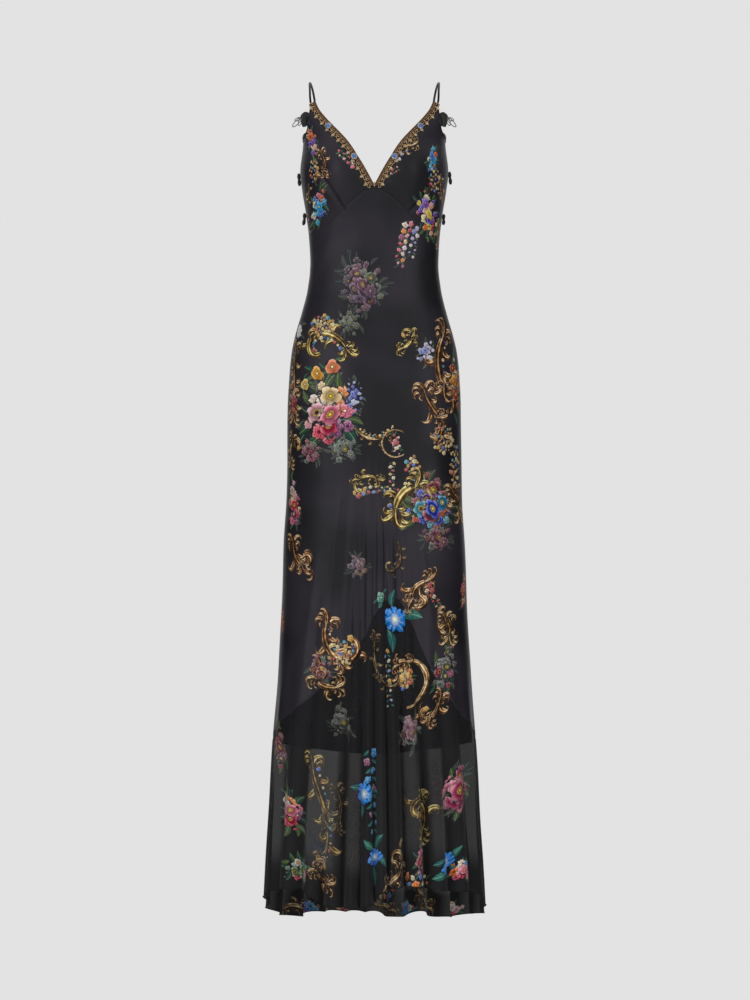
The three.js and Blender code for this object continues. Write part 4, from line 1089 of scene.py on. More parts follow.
def cloth_piece(name, grids, design, made_of, slot, replaces):
    """grids: (angle, z, distance from the nearest seam), each with rows from the top down."""
    verts, faces, corners = [], [], []
    start = 0
    for angle, z, seam in grids:
        spots = outer(angle, z, dip_at(seam))
        spots = creased(spots, outward(angle, z))
        rows, columns = angle.shape
        number = start + np.arange(rows * columns).reshape(rows, columns)
        quads = np.stack([number[:-1, :-1], number[1:, :-1], number[1:, 1:], number[:-1, 1:]], axis=-1).reshape(-1, 4)
        lie = np.stack([across_cloth(angle, z, design.side), z], axis=-1).reshape(-1, 2)
        verts.append(spots.reshape(-1, 3) * MM)
        faces.append(quads)
        corners.append(lie[quads - start])
        start += rows * columns
    verts, faces, corners = np.concatenate(verts), np.concatenate(faces), np.concatenate(corners)
    mesh = bpy.data.meshes.new(name)
    mesh.vertices.add(len(verts))
    mesh.vertices.foreach_set("co", verts.astype(np.float32).ravel())
    mesh.loops.add(len(faces) * 4)
    mesh.loops.foreach_set("vertex_index", faces.astype(np.int32).ravel())
    mesh.polygons.add(len(faces))
    mesh.polygons.foreach_set("loop_start", np.arange(0, len(faces) * 4, 4, dtype=np.int32))
    mesh.update(calc_edges=True)
    lie = mesh.uv_layers.new(name="cloth")
    lie.data.foreach_set("uv", (corners * MM).astype(np.float32).ravel())
    write_layers(mesh, stamp(design, corners))
    if slot == "chiffon":
        folded = np.concatenate([folded_at(angle, z).ravel() for angle, z, _ in grids])
        mesh.attributes.new("folded", "FLOAT", "POINT").data.foreach_set("value", folded.astype(np.float32))
    mesh.shade_smooth()
    mesh.materials.append(made_of)
    piece = bpy.data.objects.new(name, mesh)
    scene.collection.objects.link(piece)
    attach(piece, "root")
    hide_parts(replaces)
    print(name, len(faces), "faces")
    return piece


def rows_between(angles, top, bottom, count):
    t = np.linspace(0, 1, count + 1)[:, None]
    return np.broadcast_to(angles, (count + 1, len(angles))).copy(), top + (bottom - top) * t


def join_mesh(piece, near=0.00002):
    work = bmesh.new()
    work.from_mesh(piece.data)
    bmesh.ops.remove_doubles(work, verts=work.verts, dist=near)
    work.to_mesh(piece.data)
    work.free()


# %% Edges of the panels
CUP_SEAM = np.array([(0, -198.5), (15, -207), (31, -218), (48, -234), (65, -250), (96, -270)])
NECKLINE = np.array([
    (109, -41), (102, -56), (90.5, -71), (77, -86), (63, -101), (50.5, -115.6), (40, -130.6),
    (31, -145.6), (21.5, -160.5), (12.8, -175.5), (4, -191.5), (0.6, -197.5),
])
ARMHOLE = np.array([(109, -41), (113.5, -43), (120.5, -63), (122.5, -80), (125, -93), (129, -102)])
UNDERARM_Z, CUP_SIDE_Z, LOW_BACK_Z = -112, -283, -300
WING_EDGE = [(90, -112), (80, -99), (71, -90), (62, -85)]  # angles from the back centre
WING_TOP = [(62, -85), (58.5, -88), (55, -93)]
LOW_BACK = [(55, -93), (54, -118), (50, -160), (44, -208), (33, -258), (18, -288), (0, -300)]


def to_angles(rows):
    return np.column_stack([angle_at(rows[:, 0], rows[:, 1]), rows[:, 1]])


def spaced(rows, shares):
    """Points along a line of rows, at shares of its length."""
    rows = np.asarray(rows, float)
    run = np.concatenate([[0], np.cumsum(np.hypot(*np.diff(rows, axis=0).T))])
    at = np.asarray(shares) * run[-1]
    return np.column_stack([through(np.column_stack([run, rows[:, k]]), at) for k in (0, 1)])


def patch(top, bottom, left, right):
    """A four-sided sheet filled in from its edges; top and bottom run across, left and right down."""
    s, t = np.linspace(0, 1, len(left))[:, None, None], np.linspace(0, 1, len(top))[None, :, None]
    sides = left[:, None] * (1 - t) + right[:, None] * t + top[None] * (1 - s) + bottom[None] * s
    return sides - ((top[0] * (1 - t) + top[-1] * t) * (1 - s) + (bottom[0] * (1 - t) + bottom[-1] * t) * s)


cup_seam_rows = np.vstack([to_angles(CUP_SEAM), [90, CUP_SIDE_Z]])


def cup_seam(angle):
    return through(cup_seam_rows, np.abs(angle))


print("cup seam at 45 degrees:", round(float(cup_seam(np.array(45.0)))), "mm")

# %% Front, back and cups
def front_panel():
    angles = np.linspace(-90, 90, 197)
    angle, z = rows_between(angles, cup_seam(angles), flounce_seam(angles), 410)
    seam = np.minimum(cup_seam(angle) - z, z - flounce_seam(angle))
    seam = np.minimum(seam, (90 - np.abs(angle)) * 2.4)
    cloth_piece("front_satin", [(angle, z, seam)], front, SATIN, "satin", "front_panel")


def back_panel():
    columns, upper = np.linspace(0, 90, 88), 100
    start = lambda away: LOW_BACK_Z + (CUP_SIDE_Z - LOW_BACK_Z) * away / 90
    edge = np.vstack([
        spaced(WING_EDGE, np.linspace(1, 0, 21)),
        np.column_stack([np.full(upper - 20, 90.0), np.linspace(UNDERARM_Z, CUP_SIDE_Z, upper - 19)[1:]]),
    ])
    shares = np.linspace(0, 1, len(edge))
    grid = patch(
        spaced(WING_TOP, np.linspace(0, 1, len(columns))), np.column_stack([columns[::-1], start(columns[::-1])]),
        edge, spaced(LOW_BACK, shares),
    )
    away, z = grid[..., 0], grid[..., 1]
    seam = np.where(z < UNDERARM_Z - 2, (90 - away) * 2.2, 30)
    grids = [(180 - away, z, seam), ((180 + away)[:, ::-1], z[:, ::-1], seam[:, ::-1])]
    angles = 180 + np.concatenate([-columns[::-1], columns[1:]])
    angle, z = rows_between(angles, start(np.abs(angles - 180)), flounce_seam(angles), 378)
    seam = np.minimum(z - flounce_seam(angle), (90 - np.abs(angle - 180)) * 2.4)
    join_mesh(cloth_piece("back_satin", grids + [(angle, z, seam)], back, SATIN, "satin", "back_panel"))


def cup(side, word):
    columns, rows = np.linspace(0, 1, 91), np.linspace(0, 1, 101)
    neck = to_angles(NECKLINE)
    foot = np.linspace(neck[-1][0], 90, len(columns))
    bottom = np.column_stack([foot, cup_seam(foot)])
    bottom[0] = neck[-1]
    top = spaced(np.vstack([to_angles(ARMHOLE), [90, UNDERARM_Z]]), columns)
    edge = np.column_stack([np.full(len(rows), 90.0), UNDERARM_Z + (CUP_SIDE_Z - UNDERARM_Z) * rows])
    grid = patch(top, bottom, spaced(neck, rows), edge)
    angle, z = side * np.minimum(grid[..., 0], 90), grid[..., 1]
    seam = np.minimum(z - cup_seam(angle), (90 - np.abs(angle)) * 2.2)
    if side < 0:
        angle, z, seam = angle[:, ::-1], z[:, ::-1], seam[:, ::-1]
    cloth_piece(f"cup_satin_{word}", [(angle, z, seam)], front, SATIN, "satin", f"cup_{word}")


front_panel()
back_panel()
cup(1, "left")
cup(-1, "right")

# %% Flounce
def flounce(word, first, last, design):
    angles = np.linspace(first, last, 241)
    angle, z = rows_between(angles, flounce_seam(angles), hem(angles), 140)
    seam = np.minimum(flounce_seam(angle) - z, np.minimum(angle - first, last - angle) * 2.8)
    cloth_piece(f"flounce_chiffon_{word}", [(angle, z, seam)], design, CHIFFON, "chiffon", f"flounce_{word}")


flounce("front", -90, 90, front)
flounce("back", 90, 270, back)

# %% [markdown]
# ## Materials of the trimmings
# Cord, beads, thread and stones are small, so each is a short shader: a ground colour that varies a
# little over the piece, and on the black cords and edges, the piping and the net a fine bump. They read the object's
# own coordinates, in metres.

# %% Trimming materials
def plain_material(name, dark, light, scale, roughness, metallic=0.0, bump=0.0, **constants):
    made, tree, shader = material(name)
    where = Wire(tree, add(tree, "ShaderNodeTexCoord").outputs["Object"])
    grain = Wire(tree, add(tree, "ShaderNodeTexNoise", {"Vector": where, "Scale": scale, "Detail": 3.0}).outputs[0])
    join(tree, shader, Base_Color=mix(((grain - 0.3) * 2.5).clamp(), paint(dark), paint(light)))
    join(tree, shader, Roughness=grain * 0.2 + (roughness - 0.1))
    shader.inputs["Metallic"].default_value = metallic
    for title, value in constants.items():
        shader.inputs[title.replace("_", " ")].default_value = value
    if bump:
        rise = add(tree, "ShaderNodeBump", {"Height": grain, "Strength": 0.5, "Distance": bump})
        join(tree, shader, Normal=Wire(tree, rise.outputs[0]))
    return made


CORDING = plain_material("black_rouleau", "08080a", "16161a", 900, 0.45, bump=0.0004, Specular_IOR_Level=0.35)
BINDING = plain_material("black_binding", "0a0a0c", "18181c", 700, 0.5, bump=0.0004, Specular_IOR_Level=0.3)
HEMMING = plain_material("rolled_chiffon", "101011", "1c1c1d", 500, 0.75, bump=0.0004, Specular_IOR_Level=0.15)
GOLD = plain_material("gold_beads", "7d5634", "dcb88a", 700, 0.35, metallic=0.6)
PALE_GOLD = plain_material("pale_gold_beads", "a88460", "f4e0bc", 700, 0.3, metallic=0.55)
BRONZE = plain_material("bronze_piping", "2c180c", "7a4c26", 1100, 0.45, metallic=0.4, bump=0.0005)
NET = plain_material("band_net", "0b0908", "241810", 1200, 0.7, bump=0.0003, Specular_IOR_Level=0.2)
SILVER = plain_material("silver_grains", "74767c", "ccced4", 900, 0.28, metallic=0.85)
BLUE = plain_material("blue_stone", "0a2a66", "2f7cc4", 260, 0.12, Coat_Weight=1.0, Coat_Roughness=0.05)
ORGANZA = plain_material("pale_loop", "2c2c2e", "7c7c7f", 400, 0.4, Specular_IOR_Level=0.5, Alpha=0.75)
print("materials:", len(bpy.data.materials))

# %% [markdown]
# ## Two small Geometry Nodes tools
# Nearly every trimming is either a cord that follows a line, or one shape repeated along a line. The
# first tool sweeps a circle along the line. The second spaces points along it and stands a copy of a
# shape on each, with its foot on the cloth, because the line carries the cloth's outward direction.
# Each result is turned into a plain mesh, and the modifier and the line are thrown away.

# %% Geometry Nodes tools
def node_tree(name, inputs):
    tree = bpy.data.node_groups.new(name, "GeometryNodeTree")
    sockets = {}
    tree.interface.new_socket("Path", in_out="INPUT", socket_type="NodeSocketGeometry")
    for title, kind in inputs:
        sockets[title] = tree.interface.new_socket(title, in_out="INPUT", socket_type=kind)
    tree.interface.new_socket("Geometry", in_out="OUTPUT", socket_type="NodeSocketGeometry")
    entry, leave = tree.nodes.new("NodeGroupInput"), tree.nodes.new("NodeGroupOutput")
    return tree, sockets, {s.name: Wire(tree, s) for s in entry.outputs if s.name}, leave


def sweep_tree():
    tree, sockets, given, leave = node_tree(
        "cord along a path", [("Radius", FLOAT), ("Sides", "NodeSocketInt"), ("Material", "NodeSocketMaterial")]
    )
    line = add(tree, "GeometryNodeMeshToCurve", {"Mesh": given["Path"]})
    ring = add(tree, "GeometryNodeCurvePrimitiveCircle", {"Radius": given["Radius"], "Resolution": given["Sides"]})
    tube = add(tree, "GeometryNodeCurveToMesh", {
        "Curve": Wire(tree, line.outputs[0]), "Profile Curve": Wire(tree, ring.outputs[0]), "Fill Caps": True,
    })
    smooth = add(tree, "GeometryNodeSetShadeSmooth", {"Geometry": Wire(tree, tube.outputs[0])})
    made = add(tree, "GeometryNodeSetMaterial", {
        "Geometry": Wire(tree, smooth.outputs[0]), "Material": given["Material"],
    })
    tree.links.new(made.outputs[0], leave.inputs[0])
    return tree, sockets


def repeat_tree():
    tree, sockets, given, leave = node_tree("shapes along a path", [
        ("Shape", "NodeSocketObject"), ("Spacing", FLOAT), ("Smallest", FLOAT), ("Largest", FLOAT),
        ("Seed", "NodeSocketInt"), ("Material", "NodeSocketMaterial"),
    ])
    line = add(tree, "GeometryNodeMeshToCurve", {"Mesh": given["Path"]})
    even = add(tree, "GeometryNodeResampleCurve", {"Curve": Wire(tree, line.outputs[0])}, mode="LENGTH")
    tree.links.new(given["Spacing"].socket, even.inputs["Length"])
    shape = add(tree, "GeometryNodeObjectInfo", {"Object": given["Shape"]})
    out = add(tree, "GeometryNodeInputNamedAttribute", {"Name": "out"}, data_type="FLOAT_VECTOR")
    along = add(tree, "GeometryNodeInputNamedAttribute", {"Name": "along"}, data_type="FLOAT_VECTOR")
    stand = add(tree, "FunctionNodeAlignRotationToVector", {"Vector": Wire(tree, out.outputs[0])}, axis="Z")
    turn = add(tree, "FunctionNodeAlignRotationToVector", {
        "Rotation": Wire(tree, stand.outputs[0]), "Vector": Wire(tree, along.outputs[0]),
    }, axis="X", pivot_axis="Z")
    size = add(tree, "FunctionNodeRandomValue", {
        "Min": given["Smallest"], "Max": given["Largest"], "Seed": given["Seed"],
    }, data_type="FLOAT")
    for title, at in (("Smallest", 2), ("Largest", 3)):
        tree.links.new(given[title].socket, size.inputs[at])
    copies = add(tree, "GeometryNodeInstanceOnPoints", {
        "Points": Wire(tree, even.outputs[0]), "Instance": Wire(tree, shape.outputs["Geometry"]),
        "Rotation": Wire(tree, turn.outputs[0]), "Scale": Wire(tree, size.outputs[1]),
    })
    real = add(tree, "GeometryNodeRealizeInstances", {"Geometry": Wire(tree, copies.outputs[0])})
    made = add(tree, "GeometryNodeSetMaterial", {
        "Geometry": Wire(tree, real.outputs[0]), "Material": given["Material"],
    })
    tree.links.new(made.outputs[0], leave.inputs[0])
    return tree, sockets


CORD_TREE, CORD_SOCKETS = sweep_tree()
REPEAT_TREE, REPEAT_SOCKETS = repeat_tree()


def path_object(points, out=None):
    points = np.asarray(points, float) * MM
    n = len(points)
    mesh = bpy.data.meshes.new("path")
    mesh.from_pydata(points.tolist(), [(i, i + 1) for i in range(n - 1)], [])
    along = np.gradient(points, axis=0)
    out = np.tile((0, -1, 0), (n, 1)) if out is None else out
    for name, values in (("out", out), ("along", along)):
        stored = mesh.attributes.new(name, "FLOAT_VECTOR", "POINT")
        stored.data.foreach_set("vector", np.asarray(values, np.float32).ravel())
    line = bpy.data.objects.new("path", mesh)
    scene.collection.objects.link(line)
    return line


def grown(name, line, tree, sockets, values):
    change = line.modifiers.new("grow", "NODES")
    change.node_group = tree
    for title, value in values.items():
        change[sockets[title].identifier] = value
    bpy.context.view_layer.update()
    seen = line.evaluated_get(bpy.context.evaluated_depsgraph_get())
    mesh = bpy.data.meshes.new_from_object(seen)
    for stale in [a.name for a in mesh.attributes if a.name in ("out", "along")]:
        mesh.attributes.remove(mesh.attributes[stale])
    mesh.name = name
    piece = bpy.data.objects.new(name, mesh)
    scene.collection.objects.link(piece)
    bpy.data.objects.remove(line)
    return piece


def cord(name, points, radius, made_of, sides=10):
    values = {"Radius": radius * MM, "Sides": sides, "Material": made_of}
    return grown(name, path_object(points), CORD_TREE, CORD_SOCKETS, values)


def repeated(name, points, out, shape, spacing, made_of, smallest=0.9, largest=1.1, seed=1):
    values = {
        "Shape": shape, "Spacing": spacing * MM, "Smallest": smallest, "Largest": largest, "Seed": seed,
        "Material": made_of,
    }
    return grown(name, path_object(points, out), REPEAT_TREE, REPEAT_SOCKETS, values)


def together(name, parts, replaces=()):
    """Several plain pieces as one."""
    bpy.ops.object.select_all(action="DESELECT")
    for part in parts:
        part.select_set(True)
    bpy.context.view_layer.objects.active = parts[0]
    if len(parts) > 1:
        bpy.ops.object.join()
    piece = parts[0]
    piece.name = piece.data.name = name
    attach(piece, "root")
    if replaces:
        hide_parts(*replaces)
    print(name, len(piece.data.polygons), "faces")
    return piece


print("node trees:", CORD_TREE.name, "and", REPEAT_TREE.name)

# %% [markdown]
# ## The beaded band
# On the real dress the band is worked by hand on net: a bronze cord at the very edge, a line of small
# beads, then curls of gold thread, each with a small flower of beads, that end in a pointed row. One
# curl is drawn once as a shape, and the second tool repeats it. Its foot is the edge of the neckline,
# and its height points away from it.

# %% Shapes to repeat
def shape_object(name, spheres, wires=()):
    """spheres: (x, y, z, radius, flatness); wires: (points, radius)."""
    work = bmesh.new()
    for x, y, z, radius, flat in spheres:
        ball = bmesh.ops.create_icosphere(work, subdivisions=2 if radius > 0.7 else 1, radius=radius * MM)
        bmesh.ops.scale(work, verts=ball["verts"], vec=(1, 1, flat))
        bmesh.ops.translate(work, verts=ball["verts"], vec=(x * MM, y * MM, z * MM))
    for points, radius in wires:
        points = np.asarray(points, float)
        run = np.gradient(points, axis=0)
        run /= np.linalg.norm(run, axis=1, keepdims=True)
        rings = []
        for k, (p, t) in enumerate(zip(points, run)):
            side, r = np.cross(t, (0, 0, 1)), radius * (0.5 if k in (0, len(points) - 1) else 1)
            ring = []
            for a in np.arange(6) * math.pi / 3:
                at = p + r * (side * math.cos(a) + np.array((0, 0, 1)) * math.sin(a) * 0.8)
                ring.append(work.verts.new(at * MM))
            rings.append(ring)
        for a, b in zip(rings[:-1], rings[1:]):
            for k in range(6):
                work.faces.new((a[k], a[(k + 1) % 6], b[(k + 1) % 6], b[k]))
        work.faces.new(rings[0][::-1])
        work.faces.new(rings[-1])
    bmesh.ops.recalc_face_normals(work, faces=work.faces)
    mesh = bpy.data.meshes.new(name)
    work.to_mesh(mesh)
    work.free()
    mesh.shade_smooth()
    shape = bpy.data.objects.new(name, mesh)
    scene.collection.objects.link(shape)
    return shape


def curl(side):
    """Half of one curl of gold thread: up from the edge, then round into a spiral."""
    t = np.linspace(0, 1, 22)
    turn = math.radians(96) - math.radians(150) * t - math.radians(230) * t**3
    x = np.concatenate([[0], np.cumsum(np.cos(turn[:-1]))]) * 0.98
    y = np.concatenate([[0], np.cumsum(np.sin(turn[:-1]))]) * 0.98
    return np.column_stack([side * (x + 0.6), y + 3.4, np.full(len(t), 0.5)])


def floret(x, y, size, count=6):
    turns = np.arange(count) * 2 * math.pi / count
    ring = [(x + size * math.cos(a), y + size * math.sin(a), 0.6, size * 0.52, 0.6) for a in turns]
    return ring + [(x, y, 0.9, size * 0.5, 0.9)]


BEAD = shape_object("bead", [(0, 0, 0.5, 0.78, 1.0)])
SEED_BEAD = shape_object("seed_bead", [(0, 0, 0.3, 0.55, 1.0)])
CURL = shape_object("curl", [], [(curl(1), 0.62), (curl(-1), 0.62)])
FLORETS = shape_object("florets", floret(0, 12.2, 1.9) + [
    (0, 15.9, 0.5, 0.75, 0.8), (0, 9.2, 0.5, 0.7, 0.8),
    (4.6, 6.4, 0.6, 0.85, 0.9), (-4.6, 6.4, 0.6, 0.85, 0.9),
])
HALF_FLORETS = shape_object("half_florets", floret(0, 6.6, 1.35, 5) + [
    (0, 3.6, 0.5, 0.6, 0.8), (0, 9.6, 0.5, 0.55, 0.8),
])

# %% The band
BAND_WIDE, BAND_FOOT, CURL_PITCH = 17, 0.3, 15.5


def neckline_places(count):
    return spaced(to_angles(NECKLINE), np.linspace(0, 1, count))


def beside(places, width, side, lift):
    """A line beside the neckline, width away from it, with the cloth's outward direction."""
    spots = outer(places[:, 0], places[:, 1])
    run = np.gradient(spots[:, [0, 2]], axis=0)
    run /= np.linalg.norm(run, axis=1, keepdims=True)
    x, z = spots[:, 0] - run[:, 1] * width, spots[:, 2] + run[:, 0] * width
    angle = side * angle_at(x, z)
    out = outward(angle, z)
    return outer(angle, z) + out * lift, out


def band(side, word):
    def line(width, lift, inset=0):
        """Turned round on one side, so that the shapes still point away from the edge there."""
        points, out = beside(neckline_places(120), width, side, lift)
        if inset:
            points, out = points[inset:-inset], out[inset:-inset]
        return (points, out) if side > 0 else (points[::-1], out[::-1])

    widths = np.linspace(0.4, BAND_WIDE - 3.5, 9)
    strips = [line(w, BAND_FOOT + 0.25)[0] for w in widths]
    mesh = bpy.data.meshes.new("net")
    rows, n = len(strips), len(strips[0])
    faces = [
        (i * n + j, i * n + j + 1, (i + 1) * n + j + 1, (i + 1) * n + j)
        for i in range(rows - 1) for j in range(n - 1)
    ]
    mesh.from_pydata((np.concatenate(strips) * MM).tolist(), [], faces)
    mesh.update()
    if mesh.polygons[len(faces) // 2].normal.y > 0:
        mesh.flip_normals()
    mesh.shade_smooth()
    mesh.materials.append(NET)
    net = bpy.data.objects.new("net", mesh)
    scene.collection.objects.link(net)
    parts = [net, cord("piping", line(0.9, 1.5)[0], 1.25, BRONZE)]
    for width, shape, every, made_of, seed in (
        (3.0, BEAD, 1.75, GOLD, 3), (4.9, SEED_BEAD, 1.3, PALE_GOLD, 4), (0.4, SEED_BEAD, 1.5, GOLD, 5),
    ):
        points, out = line(width, BAND_FOOT + 0.5, 1)
        parts.append(repeated("row", points, out, shape, every, made_of, 0.85, 1.15, seed))
    points, out = line(1.4, BAND_FOOT + 0.4, 5)
    parts.append(repeated("curls", points, out, CURL, CURL_PITCH, GOLD, 0.94, 1.04, 6))
    parts.append(repeated("florets", points, out, FLORETS, CURL_PITCH, PALE_GOLD, 0.94, 1.04, 6))
    points, out = line(1.4, BAND_FOOT + 0.4, 10)
    parts.append(repeated("small_florets", points, out, HALF_FLORETS, CURL_PITCH, GOLD, 0.95, 1.05, 7))
    together(f"beading_{word}", parts, [f"neck_trim_{word}"])


band(1, "left")
band(-1, "right")
middle, down = np.zeros(5), np.linspace(-193.5, -200.5, 5)
tip, out = outer(middle, down), outward(middle, down)
row = repeated("tip", tip + out * 1.2, out, BEAD, 1.7, GOLD, 1.3, 1.5, 9)
together("neck_point_beads", [row])

# %% [markdown]
# ## Stones
# Each stone is a blue cabochon in a ring of silver grains. It takes the place of the simple turned
# solid of the CAD model, with the same middle, width and height.

# %% Stones
STONE_SHARES, STONE_FROM_EDGE = {"upper": 0.27, "lower": 0.66}, 6.8
STONE_LIFT = 0.78 + 2.2  # the band's foot and thickness in the CAD model
SEAT = [(5.9, 0), (6.2, 0.7), (5.6, 1.3), (4.6, 1.5), (4.2, 1.9), (3.9, 1.6)]  # radius, height


def turned(profile, sides=40):
    """A round body about +Z from (radius, height) rows, closed at the top."""
    turns = np.arange(sides) * 2 * math.pi / sides
    verts = [(r * math.cos(a), r * math.sin(a), h) for r, h in profile for a in turns]
    faces = [
        (i * sides + k, i * sides + (k + 1) % sides, (i + 1) * sides + (k + 1) % sides, (i + 1) * sides + k)
        for i in range(len(profile) - 1) for k in range(sides)
    ]
    verts.append((0, 0, profile[-1][1]))
    top = (len(profile) - 1) * sides
    faces += [(top + k, top + (k + 1) % sides, len(verts) - 1) for k in range(sides)]
    verts.append((0, 0, profile[0][1]))
    faces += [((k + 1) % sides, k, len(verts) - 1) for k in range(sides)]
    return verts, faces


def stone(side, word, height_word):
    places = neckline_places(101)
    k = round(100 * STONE_SHARES[height_word])
    points, out = beside(places, STONE_FROM_EDGE, side, STONE_LIFT)
    foot, up = Vector(points[k]) * MM, Vector(out[k])
    dome = [(4.1 * math.cos(a), 1.6 + 2.4 * math.sin(a)) for a in np.linspace(0.0, 1.5, 9)]
    parts = []
    for title, profile, made_of in (("dome", [(4.1, 0.6)] + dome, BLUE), ("seat", SEAT, SILVER)):
        verts, faces = turned([(r * MM, h * MM) for r, h in profile])
        mesh = bpy.data.meshes.new(title)
        mesh.from_pydata(verts, [], faces)
        mesh.shade_smooth()
        mesh.materials.append(made_of)
        parts.append(bpy.data.objects.new(title, mesh))
    ring = [(5.3 * math.cos(a), 5.3 * math.sin(a), 1.2, 0.78, 1.0) for a in np.arange(20) * math.pi / 10]
    grains = shape_object("grains", ring)
    grains.data.materials.append(SILVER)
    for part in parts:
        scene.collection.objects.link(part)
    parts.append(grains)
    turn = up.to_track_quat("Z", "Y").to_matrix().to_4x4()
    turn.translation = foot
    for part in parts:
        part.data.transform(turn)
    together(f"stone_{word}_{height_word}_set", parts, [f"stone_{word}_{height_word}"])


for side, word in ((1, "left"), (-1, "right")):
    for height_word in ("upper", "lower"):
        stone(side, word, height_word)

# %% [markdown]
# ## Straps and cord ends
# A rouleau is a narrow tube of bias satin turned right side out. Its line here is a centripetal
# spline through a few points, which bends evenly and never loops between close points.

# %% Spline, and the straps
def spline(points, count):
    """Evenly spaced points on a centripetal Catmull-Rom curve."""
    p = np.asarray(points, float)
    p = np.vstack([2 * p[0] - p[1], p, 2 * p[-1] - p[-2]])
    fine = []
    for i in range(len(p) - 3):
        a, b, c, d = p[i : i + 4]
        ta, tb, tc = (np.linalg.norm(q - r) ** 0.5 for q, r in ((b, a), (c, b), (d, c)))
        m0 = ((b - a) / ta - (c - a) / (ta + tb) + (c - b) / tb) * tb
        m1 = ((c - b) / tb - (d - b) / (tb + tc) + (d - c) / tc) * tb
        t = np.linspace(0, 1, 40)[: 40 if i == len(p) - 4 else 39, None]
        fine.append(b + m0 * t + (3 * (c - b) - 2 * m0 - m1) * t**2 + (2 * (b - c) + m0 + m1) * t**3)
    fine = np.concatenate(fine)
    run = np.concatenate([[0], np.cumsum(np.linalg.norm(np.diff(fine, axis=0), axis=1))])
    at = np.linspace(0, run[-1], count)
    return np.column_stack([np.interp(at, run, fine[:, k]) for k in range(3)])


STRAP_ARCH = [(113.5, -60, -24), (118, -40, -7), (120.8, -4, -2.1), (121, 32, -10), (119.5, 58, -34)]
STRAP_RADIUS = 2.1
WALL, CLEARANCE = 1.5, 0.6  # the CAD cloth's thickness, and the gap left inside it


def inside(angle, z):
    angle, z = np.array(float(angle)), np.array(float(z))
    return outer(angle, z) - outward(angle, z) * (WALL + CLEARANCE + STRAP_RADIUS)


def strap(side, word):
    points = [inside(angle_at(112, z), z) for z in (-58, -49, -41)] + STRAP_ARCH
    points = np.array([*points, *(inside(180 - 58.5, z) for z in (-70, -84, -97))]) * (side, 1, 1)
    line = cord(f"strap_cord_{word}", spline(points, 150), STRAP_RADIUS * 0.97, CORDING, 14)
    together(f"strap_cord_{word}", [line], [f"strap_{word}"])


strap(1, "left")
strap(-1, "right")

# %% Cord ends
CORD_ENDS = {  # side, top, length, how far the foot swings out
    "left_upper": (1, -166, 23, 3), "left_lower": (1, -245, 20, 1),
    "right_upper": (-1, -169, 23, 0.5), "right_lower": (-1, -243, 22, 5),
}
TOP_END = [(122.8, -59.9, -67), (127.6, -60, -65), (130.8, -60.5, -73), (129.8, -60, -88)]
TOP_LOBES = [
    [(126, -58.5, -64), (131, -58, -65), (136, -58.5, -71)],
    [(124, -58, -66), (123, -57, -76), (126, -57, -86)],
]
TAIL_STEM = [(129.5, -60.2, -68.5), (132.5, -60.2, -69.2), (136, -60.2, -71.6)]


def tab(points, half, thick, made_of):
    """A folded strip of satin, flat and pointed, as wide as half says along its line."""
    points = np.asarray(points, float)
    run = np.gradient(points, axis=0)
    run /= np.linalg.norm(run, axis=1, keepdims=True)
    flat = np.cross(run, (0, -1, 0))
    flat /= np.linalg.norm(flat, axis=1, keepdims=True)
    up = np.cross(flat, run)
    n, m = len(points), 14
    sides = np.arange(m) * 2 * math.pi / m
    crimp = 1 + 0.06 * np.cos(5 * sides)  # soft pleats along the strip
    rings = []
    for p, f, u, w in zip(points, flat, up, half):
        high = np.outer(np.sin(sides) * crimp, u) * thick * min(1, w / half.max() + 0.3)
        rings.append(p + np.outer(np.cos(sides) * crimp, f) * w + high)
    faces = [
        (i * m + k, i * m + (k + 1) % m, (i + 1) * m + (k + 1) % m, (i + 1) * m + k)
        for i in range(n - 1) for k in range(m)
    ]
    faces += [tuple(range(m - 1, -1, -1)), tuple((n - 1) * m + k for k in range(m))]
    mesh = bpy.data.meshes.new("tab")
    mesh.from_pydata((np.concatenate(rings) * MM).tolist(), [], faces)
    mesh.shade_smooth()
    mesh.materials.append(made_of)
    piece = bpy.data.objects.new("tab", mesh)
    scene.collection.objects.link(piece)
    work = bmesh.new()
    work.from_mesh(mesh)
    bmesh.ops.recalc_face_normals(work, faces=work.faces)
    work.to_mesh(mesh)
    work.free()
    return piece


def side_end(word, side, top, length, swing):
    """A small bow that stands on the side seam: two lobes and the knot between them."""
    angle, line = 94.0 if side > 0 else 266.0, []
    for t in np.linspace(0, 1, 21):
        z = np.array(top - length * t)
        spot, out = outer(np.array(angle), z), outward(np.array(angle), z)
        line.append(spot + out * (2.9 + swing * t**2))
    line = np.array(line)
    lobe = 1.0 + 2.3 * np.sin(np.pi * np.linspace(0.04, 0.92, 11)) ** 0.7
    parts = [
        tab(line[:11] + (0, -0.6, 0), lobe, 1.7, CORDING),
        tab(line[:9:-1] + (0.5 * side, 0.7, 0), lobe, 1.7, CORDING),
        cord("knot", line[10] + [(0, -2.6, 0), (0.4 * side, 0, 0), (0, 2.6, 0)], 2.4, CORDING, 12),
    ]
    together(f"bow_{word}", parts, [f"cord_end_{word}"])


def armhole_end(side, word):
    """The larger bow at the armhole: one fold over the edge, and two short lobes behind it."""
    flip = np.array((side, 1, 1))
    grown = np.sin(np.pi * np.linspace(0.2, 0.93, 22)) ** 0.6
    parts = [tab(spline(np.array(TOP_END) * flip, 22), 1.2 + 4.4 * grown, 1.8, CORDING)]
    for ends in TOP_LOBES:
        lobe = 1.0 + 2.2 * np.sin(np.pi * np.linspace(0.1, 0.95, 16)) ** 0.7
        parts.append(tab(spline(np.array(ends) * flip, 16), lobe, 1.2, CORDING))
    together(f"bow_{word}_top", parts, [f"cord_end_{word}_top"])


